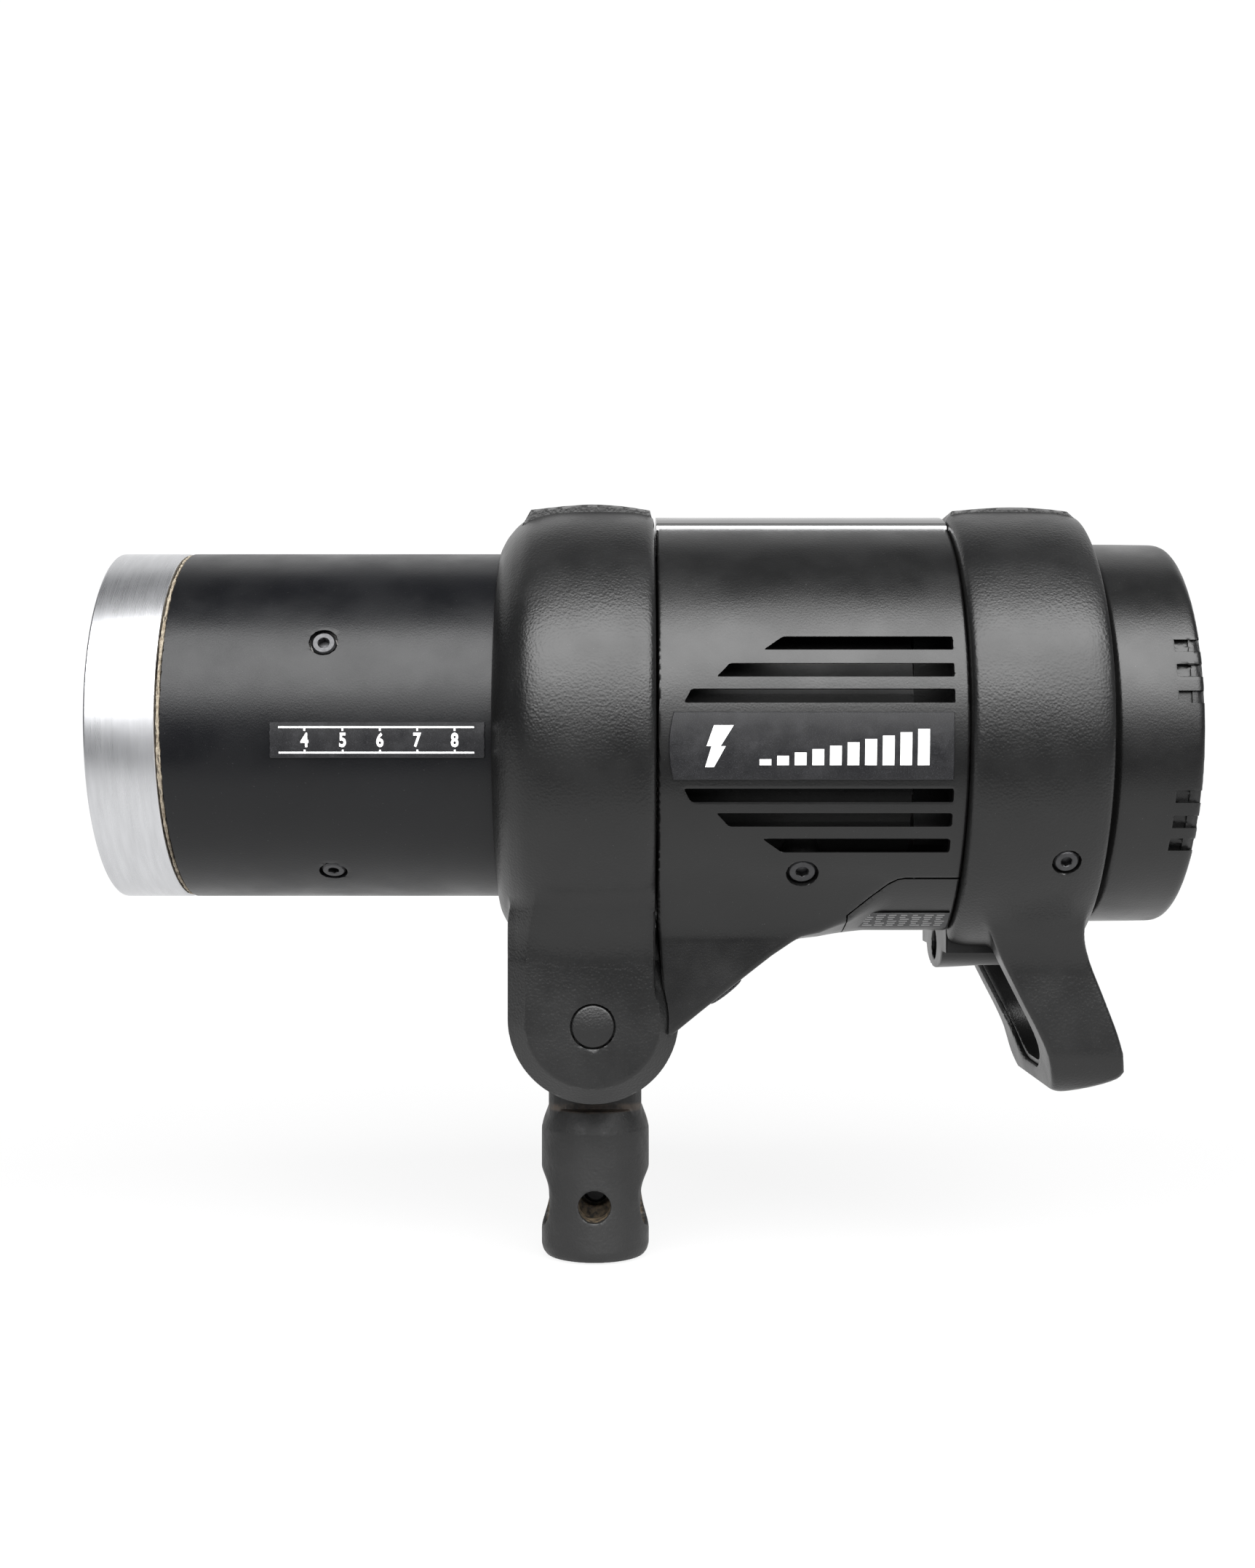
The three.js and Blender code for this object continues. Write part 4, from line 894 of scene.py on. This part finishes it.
def rear_collar_handle(x, y, z):
    side = np.abs(y)
    r = length(y, z - BODY_Z)
    whole = meet(REAR_PROFILE(x, r), x - 137.2, 0.5)
    whole = carve(whole, np.maximum(side - PAD_HALF + PAD_SINK, 210 - z))
    corner = length(np.maximum(side - CORNER_Y, 0), np.maximum(CORNER_Z - z, 0)) - HANDLE_CORNER
    below = np.where(side > CORNER_Y, corner, HANDLE_FOOT - z)
    upper = smooth_ramp(z, 96, 16)
    spread = legs(z, side) * (1 - upper) + (whole + NECK_SINK) * upper
    handle = meet(HANDLE_SIDE(x, z), np.where(z < CORNER_Z, below, spread), 1.3)
    whole = join(whole, np.maximum(handle, z - 122), 1.5)
    whole = meet(whole, slab(x, REAR_FRONT, 155), 0.5)
    whole = carve(whole, rod_x(x, y, z, (0, BODY_Z), REAR_SEAT_R, 90, 150), 0.6)
    room = rectangle(y, z - 78.45, ROOM_HALF, 23.15, 17)
    room = np.minimum(room, np.maximum(side - ROOM_HALF, slab(z, 80, 101.6)))
    whole = carve(whole, room, 0.9)
    screw = (x, y, z, COLLAR_SCREW[0], BODY_Z, COLLAR_SCREW[1])
    return carve(whole, radial_rod(*screw, 3.85, 62, 70), 0.3)


padded("rear_collar_handle", rear_collar_handle, (REAR_FRONT, -65, 49.4), (148.2, 65, 215.8),
       REAR_PAD)


def handle_liner(x, y, z):
    outer = rectangle(y, z - 80, 21.7, 24.4, 17)
    inner = rectangle(y, z - 81.7, 20, 24.4, 15.3)
    wall = carve(np.maximum(outer, z - 89.2), inner, 0.3)
    return meet(wall, HANDLE_SIDE(x, z) + 1.2, 0.5)


build("handle_liner", handle_liner, (104, -22, 55), (147, 22, 89.5), 0.5, "satin_black")

GUIDE_FOOT = polygon([(99.5, 83.5), (112, 84.8), (138, 84.8), (138, 99), (99.5, 99)])


def umbrella_guide(x, y, z):
    side = np.abs(y)
    flange = np.maximum(side - 21.7, slab(z, 89.5, 96.5))
    boss = np.maximum(length(y / 14, np.minimum(z - 89.5, 0) / 6) * 6 - 6, z - 90)
    shape = join(flange, boss, 0.8)
    shape = meet(shape, np.maximum(GUIDE_FOOT(x, z), x - 137), 0.5)
    return carve(shape, length(y, z - UMBRELLA_Z) - UMBRELLA_R, 0.6)


build("umbrella_guide", umbrella_guide, (99.5, -22, 83), (137, 22, 98), 0.6, "satin_black")


# ---- Rear housing and panel

NOTCHES = (19.9, 13.1, 6.0, -20.6, -27.4, -33.6)
HOUSING_PROFILE = profile([(104, 55.1), (130, 55.1), (141, 55.05), (150, 55), (158, 54.9),
                           (161, 54.8), (162.3, 54.4), (163, 53.8)])
NOTCH_FLOOR = polygon([(140, 40), (140, 53.15), (159.7, 53.15), (159.75, 53.9), (161.2, 53.7),
                       (162.6, 53.1), (167, 52.4), (167, 40)])
SHADOW_GROOVE = polygon([(136, 57), (136, 53.6), (139, 53.6), (141.3, 55.5), (141.3, 57)])
HOUSING_FRONT = 104
HOUSING_BACK = 163
HOUSING_DROP = 0.4
HOUSING_BORE_R = 52.5
RIM_BORE_R = 51.7
RIM_FROM = PANEL_FACE + 0.3
NOTCH_HALF = 1.65


def rear_housing(x, y, z):
    r = length(y, z - BODY_Z)
    outside = HOUSING_PROFILE(x, length(y, z - BODY_Z + HOUSING_DROP))
    wall = meet(outside, slab(x, HOUSING_FRONT, HOUSING_BACK), 0.35)
    wall = carve(wall, SHADOW_GROOVE(x, r), 0.2)
    wall = carve(wall, r - np.where(x < RIM_FROM, HOUSING_BORE_R, RIM_BORE_R), 0.3)
    floor = NOTCH_FLOOR(x, r)
    for height in NOTCHES:
        step = np.maximum(np.abs(z - TUBE_Z - height) - NOTCH_HALF, RIM_FROM - x)
        wall = carve(wall, np.maximum(np.maximum(step, 38 - np.abs(y)), -floor), 0.2)
    return wall


build("rear_housing", rear_housing, (HOUSING_FRONT, -56.2, 96), (HOUSING_BACK, 56.2, 209), 0.7,
      "satin_black")

# Places on the panel are given across and up from the body's axis.
DISPLAY_UP = 30
DIAL_UP = 1
DIAL_R = 14.75
INLET_AT = (-12, -29)
ROCKER_AT = (19, -28)
SYNC_AT = (-38, -18)
BUTTONS = ((-30, 12), (-30, -4), (30, 12), (30, -4))
BUTTON_HALF = (5, 3.5)
PANEL_HOLES = [((0, DISPLAY_UP), 17.5, 8.0, 1), *((at, 5.35, 3.85, 1.5) for at in BUTTONS),
               (INLET_AT, 13.85, 10.35, 1), (ROCKER_AT, 7, 11, 1)]


def control_panel(x, y, z):
    up = z - BODY_Z
    disc = meet(length(y, up) - 52.1, slab(x, 152.2, PANEL_FACE), 0.4)
    for (across, height), half_wide, half_high, corner in PANEL_HOLES:
        hole = rectangle(y - across, up - height, half_wide, half_high, corner)
        disc = carve(disc, hole, 0.3)
    from_dial = length(y, up - DIAL_UP)
    disc = carve(disc, from_dial - 3.4, 0.3)
    groove = np.abs(from_dial - 18.5) - 0.35
    disc = carve(disc, np.maximum(groove, PANEL_FACE - 0.4 - x), 0.15)
    return carve(disc, length(y - SYNC_AT[0], up - SYNC_AT[1]) - 4.2, 0.3)


build("control_panel", control_panel, (152.2, -52.1, 100), (PANEL_FACE, 52.1, 205), 0.7,
      "satin_black")


def energy_dial(x, y, z):
    up = z - BODY_Z - DIAL_UP
    r = length(y, up)
    grip = knurled(r, np.arctan2(y, up), DIAL_R, 0.22, 48)
    knob = meet(grip, slab(x, 155.9, 161.5), 0.7)
    knob = carve(knob, np.maximum(r - 11.5, 160.8 - x), 0.4)
    pointer = np.maximum(np.abs(y) - 0.6, slab(up, 6, 11))
    knob = carve(knob, np.maximum(pointer, 160.3 - x), 0.1)
    return join(knob, rod_x(x, y, z, (0, BODY_Z + DIAL_UP), 3, 148, 157))


build("energy_dial", energy_dial, (148, -15, 138), (161.5, 15, 169), 0.45, "soft_black",
      "energy_dial")


def display_window(x, y, z):
    glass = rectangle(y, z - BODY_Z - DISPLAY_UP, 17.2, 7.7, 1)
    return meet(glass, slab(x, 153, 156), 0.35)


build("display_window", display_window, (153, -17.2, 174), (156, 17.2, 191), 0.4, "gloss_black")


def panel_button(across, up):
    def field(x, y, z):
        cap = rectangle(y - across, z - BODY_Z - up, *BUTTON_HALF, 1.4)
        dish = length(x - 166.6, y - across, z - BODY_Z - up) - 9.9
        cap = carve(meet(cap, slab(x, 152, 157.2), 0.6), dish, 0.2)
        return join(cap, rod_x(x, y, z, (across, BODY_Z + up), 2, 148.9, 153))
    return field


for number, (across, up) in enumerate(BUTTONS, 1):
    wide, high = BUTTON_HALF
    build(f"panel_button_{number}", panel_button(across, up),
          (148.9, across - wide, BODY_Z + up - high), (157.2, across + wide, BODY_Z + up + high),
          0.35, "soft_black", f"button_{number}")


def mains_inlet(x, y, z):
    across, up = y - INLET_AT[0], z - BODY_Z - INLET_AT[1]
    body = meet(rectangle(across, up, 13.5, 10, 1), slab(x, 138.5, 156.5), 0.4)
    flange = meet(rectangle(across, up, 15.5, 12, 2), slab(x, 155.8, 157.8), 0.5)
    shape = join(body, flange)
    shape = carve(shape, np.maximum(rectangle(across, up, 12.1, 8.2, 3), 141.5 - x), 0.5)
    for at, height in ((-7, -2), (0, 2), (7, -2)):
        pin = rectangle(across - at, up - height, 1, 2, 0.4)
        shape = join(shape, meet(pin, slab(x, 140, 150), 0.5))
    return shape


build("mains_inlet", mains_inlet, (138.5, -27.5, 111), (157.8, 3.5, 136), 0.5, "satin_black")

ROCKER_TILT = 8
ROCKER_SIDE = polygon([(-3, -7), (5.4, -10), (4.5, -5), (4, 0), (4.5, 5), (5.4, 10), (-3, 7)])


def power_switch(x, y, z):
    tilt = math.radians(ROCKER_TILT)
    dx, across, dz = x - 152, y - ROCKER_AT[0], z - BODY_Z - ROCKER_AT[1]
    u = dx * math.cos(tilt) + dz * math.sin(tilt)
    v = -dx * math.sin(tilt) + dz * math.cos(tilt)
    shape = meet(ROCKER_SIDE(u, v), np.abs(across) - 6.5, 0.6)
    mark = np.maximum(np.maximum(np.abs(across) - 0.4, slab(v, 3.6, 7)), 4.3 - u)
    ring_mark = np.abs(length(across, v + 5.4) - 1.7) - 0.35
    marks = np.minimum(mark, np.maximum(ring_mark, 4.3 - u))
    return carve(carve(shape, marks), length(u, v) - 1.2)


build("power_switch", power_switch, (148, 12.5, 114), (158, 25.5, 135.5), 0.4, "soft_black",
      "power_switch")


# ---- Knobs on the far side


def wing_knob(at_z, y0, y1, hub_r, wing_r, hole_r, hole_end, bar):
    """A hub from y0 to y1 with two wings along Z, which are bar thick at the hub."""
    def field(x, y, z):
        r = length(x, z - at_z)
        hub = meet(r - hub_r, slab(y, y0, y1 - 1), 0.8)
        waist = bar / 2 + 0.006 * (z - at_z) ** 2 - 0.7
        wings = length(np.maximum(np.abs(x) - waist + 2, 0),
                       np.maximum(np.abs(z - at_z) - wing_r + 2, 0)) - 2
        wings = meet(wings, slab(y, y0 + 3, y1), 1.4)
        return carve(join(hub, wings, 1.2), np.maximum(r - hole_r, y - hole_end), 0.3)
    return field


lock_knob = wing_knob(at_z=LOCK_Z, y0=21, y1=35, hub_r=6.5, wing_r=15, hole_r=4.3, hole_end=30.4,
                      bar=9)
build("lock_knob", lock_knob, (-6.6, 21, 1), (6.6, 35, 31.5), 0.6, "soft_black", "lock_knob")
tilt_knob = wing_knob(at_z=PIVOT_Z, y0=40.5, y1=58, hub_r=9, wing_r=20, hole_r=AXLE_HOLE_R,
                      hole_end=50.4, bar=11)
build("tilt_knob", tilt_knob, (-9, 40.5, 51), (9, 58, 91), 0.7, "soft_black", "tilt_knob")


# ---- Tube, ring, gasket and glass

TUBE_FRONT = -115.8
TUBE_BACK = -12
TUBE_BORE_R = 46.5


def front_tube(x, y, z):
    r = length(y, z - TUBE_Z)
    wall = meet(slab(r, TUBE_BORE_R, TUBE_R), slab(x, TUBE_FRONT, TUBE_BACK), 0.35)
    for below in TUBE_SCREW_BELOW:
        hole = radial_rod(x, y, z, TUBE_SCREW_X, TUBE_Z, below, 3.9, 40, 60)
        wall = carve(wall, hole, 0.35)
    return wall


build("front_tube", front_tube, (TUBE_FRONT, -50, 104.5), (TUBE_BACK, 50, 204.5), 1.0, "tube_black")

ring_outline = rounded_outline([(-136.5, 46.6), (-136.5, 50), (-117.3, 50), (-117.3, 46),
                                (-105, 46), (-105, 43), (-127.2, 43), (-127.2, 46),
                                (-135.9, 46)], 0.55)
piece("front_mount_ring", turned(ring_outline, TUBE_Z, 256), "bare_aluminium", sharp=0.9)


def frayed(angle, station, radius):
    """Uneven edges of a worn gasket."""
    ragged = sum(np.sin(rate * angle + phase) / size for rate, phase, size in (
        (3, 0.4, 1.6), (7, 2.1, 1.9), (17, 1.2, 2.4), (41, 4.0, 2.6), (83, 0.7, 2.8), (131, 3.3, 3.2)))
    outer = radius > 48
    return (station + 0.16 * ragged * np.where(station > -116.6, 1, -0.4),
            radius + np.where(outer, 0.16 * ragged - 0.18, 0))


gasket_outline = rounded_outline([(-117.0, 46.3), (-117.0, 49.9), (-116.1, 49.9), (-116.1, 46.3)], 0.3)
piece("front_gasket", turned(gasket_outline, TUBE_Z, 512, frayed), "gasket")

glass_outline = rounded_outline([(-131, 0.02), (-131.0, 25), (-130.9, 44.6), (-130.2, 45.6),
                                 (-127.5, 45.6), (-127.5, 0.02)], 0.5)
piece("front_glass", turned(glass_outline, TUBE_Z, 128), "frosted_glass")
reflector_outline = spline([(-125, 42.4), (-112, 41.2), (-98, 36), (-88, 27), (-84, 17.5)], 5)
reflector_outline += spline([(-85.2, 17.2), (-89.2, 26), (-99, 34.6), (-112.4, 39.9),
                             (-125, 41.2)], 5)
piece("inner_reflector", turned(reflector_outline, TUBE_Z, 96), "reflector")


# ---- Screws

SCREW_SHAFT_R = 1.5


def cap_screw(head_r, head_height, shaft_length):
    """A socket screw that stands on +Z with the top of its head at the origin."""
    def field(x, y, z):
        r = length(x, y)
        head = bevelled(r - head_r, z, 0.45)
        head = np.maximum(head, -head_height - z)
        hexagon = np.maximum(np.abs(x), np.abs(x) * 0.5 + np.abs(y) * 0.866) - 0.42 * head_r
        socket = np.maximum(hexagon, -0.88 * head_height - z)
        head = carve(head, socket)
        head = carve(head, (r - 0.5 * head_r - z) * 0.7071)
        shaft = np.maximum(r - SCREW_SHAFT_R, slab(z, -shaft_length, 0.2 - head_height))
        return join(head, shaft)
    size = head_r + 1
    return contour(field, (-size, -size, -shaft_length - 1), (size, size, 1), 0.17)


def screws(rows, shape, station, centre_z, radius):
    """Sets copies of a screw round the lamp's axis, pointing out. A row is name, angle, side."""
    for name, below, side in rows:
        angle = math.radians(below)
        out = Vector((0, side * math.cos(angle), -math.sin(angle)))
        turn = Vector((0, 0, 1)).rotation_difference(out).to_matrix().to_4x4()
        place = Matrix.Translation((station, out.y * radius, centre_z + out.z * radius)) @ turn
        piece(name, moved(shape, place), "dark_steel", sharp=0.5)


tube_rows = [(f"tube_screw_{level}_{hand}", below, side)
             for level, below in zip(("upper", "lower"), TUBE_SCREW_BELOW)
             for hand, side in (("left", -1), ("right", 1))]
screws(tube_rows, cap_screw(head_r=3.3, head_height=2.6, shaft_length=7.2), TUBE_SCREW_X, TUBE_Z,
       49.7)
for part, (station, below), head_r, top in (("body", BODY_SCREW, 3.8, 61),
                                            ("collar", COLLAR_SCREW, 3.3, 64.5)):
    screws([(f"{part}_screw_left", below, -1), (f"{part}_screw_right", below, 1)],
           cap_screw(head_r, head_height=2.0, shaft_length=7), station, BODY_Z, top)


# ---- Labels and prints


def straight(value):
    return lambda z: value


def rows_between(z0, z1, count):
    return np.linspace(z0, z1, count)


def wavy(value, size, seed):
    """An edge that a hand has rubbed a little."""
    return lambda z: value + size * (math.sin(3.1 * z + seed) + 0.6 * math.sin(7.3 * z + 2 * seed))


scale_film = film(rows_between(144.3, 153.9, 14), wavy(-86.4, 0.08, 1), wavy(-28.8, 0.1, 4),
                  TUBE_R + 0.1, TUBE_Z, 0.4, 0.15, columns=60)
piece("zoom_scale_label", scale_film, "label_film", sharp=0.5)


def badge_left_edge(z):
    return 21.5 - 1.2 * (1 - ((z - 147.3) / 8.9) ** 2)


for hand, side in (("left", -1), ("right", 1)):
    plate = film(rows_between(138.4, 156.2, 22), badge_left_edge, straight(95.0), BODY_R + 0.1,
                 BODY_Z, 0.45, 0.16, side, 60)
    piece(f"badge_{hand}", plate, "label_film", sharp=0.5)
rating_film = film(rows_between(97.2, 101.8, 8), straight(70.0), straight(98.3), BODY_R + 0.1,
                   BODY_Z, 0.45, 0.12)
piece("rating_label", rating_film, "label_film", sharp=0.5)


def ink(rows, radius, centre_z, side=-1):
    """Thin printed bars, each given as x0, x1, z0, z1."""
    return merged([
        film(rows_between(z0, z1, max(2, int((z1 - z0) / 0.8) + 2)), straight(x0), straight(x1),
             radius, centre_z, 0.05, 0.01, side, max(2, int((x1 - x0) / 4) + 2))
        for x0, x1, z0, z1 in rows
    ])


SCALE_STATIONS = (-77, -66.8, -56.8, -46.8, -36.8)
scale_lines = [(-84, -31.6, 152.25, 152.75), (-84, -31.6, 145.45, 145.95)]
for station in SCALE_STATIONS:
    scale_lines += [(station - 0.25, station + 0.25, 151.5, 152.3),
                    (station - 0.25, station + 0.25, 145.9, 146.5)]
SCALE_INK_R = TUBE_R + 0.49
BADGE_INK_R = BODY_R + 0.54
piece("zoom_scale_lines", ink(scale_lines, SCALE_INK_R, TUBE_Z), "label_film", material=PRINT_WHITE)


def numeral(character, station, foot, height, radius, centre_z):
    """A bold, narrow figure wrapped on the tube."""
    curve = bpy.data.curves.new("figure", "FONT")
    curve.body = character
    curve.align_x = "CENTER"
    curve.size = 1.0
    curve.offset = 0.032
    curve.extrude = 0.01
    curve.resolution_u = 4
    text = bpy.data.objects.new("figure", curve)
    bpy.context.scene.collection.objects.link(text)
    mesh = bpy.data.meshes.new_from_object(text.evaluated_get(bpy.context.evaluated_depsgraph_get()))
    bpy.data.objects.remove(text)
    work = bmesh.new()
    work.from_mesh(mesh)
    bmesh.ops.triangulate(work, faces=work.faces)
    flat = np.array([v.co for v in work.verts])
    faces = np.array([[v.index for v in f.verts] for f in work.faces])
    work.free()
    low, high = flat.min(axis=0), flat.max(axis=0)
    scale = height / (high[1] - low[1])
    x = station + (flat[:, 0] - (low[0] + high[0]) / 2) * scale * 0.8
    z = foot + (flat[:, 1] - low[1]) * scale
    level = radius + np.where(flat[:, 2] > 0, 0.06, 0.0)
    y = -np.sqrt(level**2 - (z - centre_z) ** 2)
    return np.stack((x, y, z), axis=1), faces


figures = merged([numeral(str(n), at, 147.15, 3.9, SCALE_INK_R, TUBE_Z)
                  for n, at in zip(range(4, 9), SCALE_STATIONS)])
piece("zoom_scale_figures", figures, "label_film", material=PRINT_WHITE)


def bolt(x, z, size):
    """A plain spark sign, in two leaning strips."""
    upper = (rows_between(z, z + 0.5 * size, 6),
             lambda v: x - 0.22 * size + 0.36 * (v - z),
             lambda v: x + 0.12 * size + 0.62 * (v - z))
    lower = (rows_between(z - 0.5 * size, z, 6),
             lambda v: x - 0.1 * size + 0.5 * (v - z) * 0.6,
             lambda v: x + 0.24 * size + 0.5 * (v - z) * 1.1)
    return [upper, lower]


def badge_print(side):
    """A spark sign and a row of bars that rise."""
    bars = [(44 + 4.6 * i, 47.1 + 4.6 * i, 142.2, 143.8 + 0.88 * i) for i in range(10)]
    parts = [ink(bars, BADGE_INK_R, BODY_Z, side)]
    for rows, left, right in bolt(32.5, 147.2, 11):
        parts.append(film(rows, left, right, BADGE_INK_R, BODY_Z, 0.05, 0.01, side, 4))
    return merged(parts)


for hand, side in (("left", -1), ("right", 1)):
    piece(f"badge_print_{hand}", badge_print(side), "label_film", material=PRINT_WHITE)
marks = [(71.4 + 3.3 * column + 0.2 * (row % 2), 73 + 3.3 * column + 0.35 * ((3 * column + row) % 4),
          97.9 + 0.62 * row, 98.15 + 0.62 * row)
         for column in range(8) for row in range(6)]
piece("rating_marks", ink(marks, BADGE_INK_R, BODY_Z), "label_film", material=PRINT_GREY)


# ---- Frame nodes that stay: their finishes

KEPT = {
    "bright_steel": ["friction_disc_left", "friction_disc_right", "pivot_axle", "sync_socket"],
    "dark_steel": ["lock_screw_shaft", "umbrella_screw_shaft", "glass_retainer"],
    "clear_glass": ["flash_tube", "modelling_lamp"],
    "ceramic": ["lamp_socket", "lamp_base_plate"],
    "satin_black": ["fan_frame"],
    "gloss_black": ["fan_rotor"],
    "can_grey": ["capacitor_1", "capacitor_2", "capacitor_3", "capacitor_4"],
    "circuit_board": ["power_board", "control_board"],
    # The sleeve's near black colour is painted shade for the inside of the vents.
    "insulation": ["insulating_sleeve"],
}
for slot, names in KEPT.items():
    for name in names:
        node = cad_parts[name]
        node.data.materials.clear()
        node.data.materials.append(MATERIALS[slot])
        node.data.shade_smooth()
        node.data.set_sharp_from_angle(angle=0.6)


# ---- Stage, lights and camera

FLOOR_FRONT = -0.3
FLOOR_BACK = 1.2
FLOOR_GAP = 0.0006
SWEEP_R = 0.9
SWEEP_STEPS = 12
MIDDLE = (0.01, 0, 0.14)
EYE = (0.00945, -0.56, 0.1373)


def stage_material():
    n = Nodes("stage_white")
    tone = n.spread(n.noise(3, 3), 0.1, 0.11)
    pale = n.add("ShaderNodeCombineXYZ")
    for i in range(3):
        n.link(tone, pale.inputs[i])
    glow = n.spread(n.split_place()[1], 0.86, 0.95, 0.1, 0.9)
    n.set(Base_Color=pale.outputs[0], Roughness=0.9, Specular_IOR_Level=0.0,
          Emission_Color=(1, 1, 1, 1), Emission_Strength=glow)
    return n.material


def sweep():
    """Floor that curves up into a backdrop, in metres."""
    outline = [(FLOOR_FRONT, 0.0), (FLOOR_BACK, 0.0)]
    for turn in np.radians(np.linspace(0, 90, SWEEP_STEPS + 1))[1:]:
        outline.append((FLOOR_BACK + SWEEP_R * math.sin(turn), SWEEP_R * (1 - math.cos(turn))))
    outline.append((FLOOR_BACK + SWEEP_R, 4.0))
    stations = np.linspace(-4, 4, 9)
    vertices = [(x, y, z - FLOOR_GAP) for y, z in outline for x in stations]
    width = len(stations)
    faces = [(i * width + j, i * width + j + 1, (i + 1) * width + j + 1, (i + 1) * width + j)
             for i in range(len(outline) - 1) for j in range(width - 1)]
    mesh = bpy.data.meshes.new("floor")
    mesh.from_pydata(vertices, [], faces)
    mesh.shade_smooth()
    mesh.materials.append(stage_material())
    floor = bpy.data.objects.new("floor", mesh)
    bpy.context.scene.collection.objects.link(floor)


def softbox(name, at, size, power):
    light = bpy.data.lights.new(name, "AREA")
    light.shape = "RECTANGLE"
    light.size, light.size_y = size
    light.energy = power
    lamp = bpy.data.objects.new(name, light)
    lamp.location = at
    lamp.rotation_euler = (Vector(MIDDLE) - Vector(at)).to_track_quat("-Z", "Y").to_euler()
    lamp.visible_camera = False
    bpy.context.scene.collection.objects.link(lamp)


sweep()
softbox("key", (0.1, -0.9, 0.95), (2.2, 0.98), 51)
softbox("edge", (0.1, -1.28, 0.46), (2.2, 0.28), 5)

world = bpy.data.worlds.new("studio")
bpy.context.scene.world = world
world.use_nodes = True
background = world.node_tree.nodes["Background"].inputs
background["Color"].default_value = (0.9, 0.93, 1, 1)
background["Strength"].default_value = 0.11

camera = bpy.data.cameras.new("camera")
camera.lens = 43.73
camera.sensor_fit = "VERTICAL"
camera.sensor_height = 36
camera.clip_start, camera.clip_end = 0.01, 30
camera.dof.use_dof = False
view = bpy.data.objects.new("camera", camera)
view.location = EYE
view.rotation_euler = (math.pi / 2, 0, 0)
bpy.context.scene.collection.objects.link(view)
bpy.context.scene.camera = view
bpy.context.scene.view_settings.view_transform = "Standard"
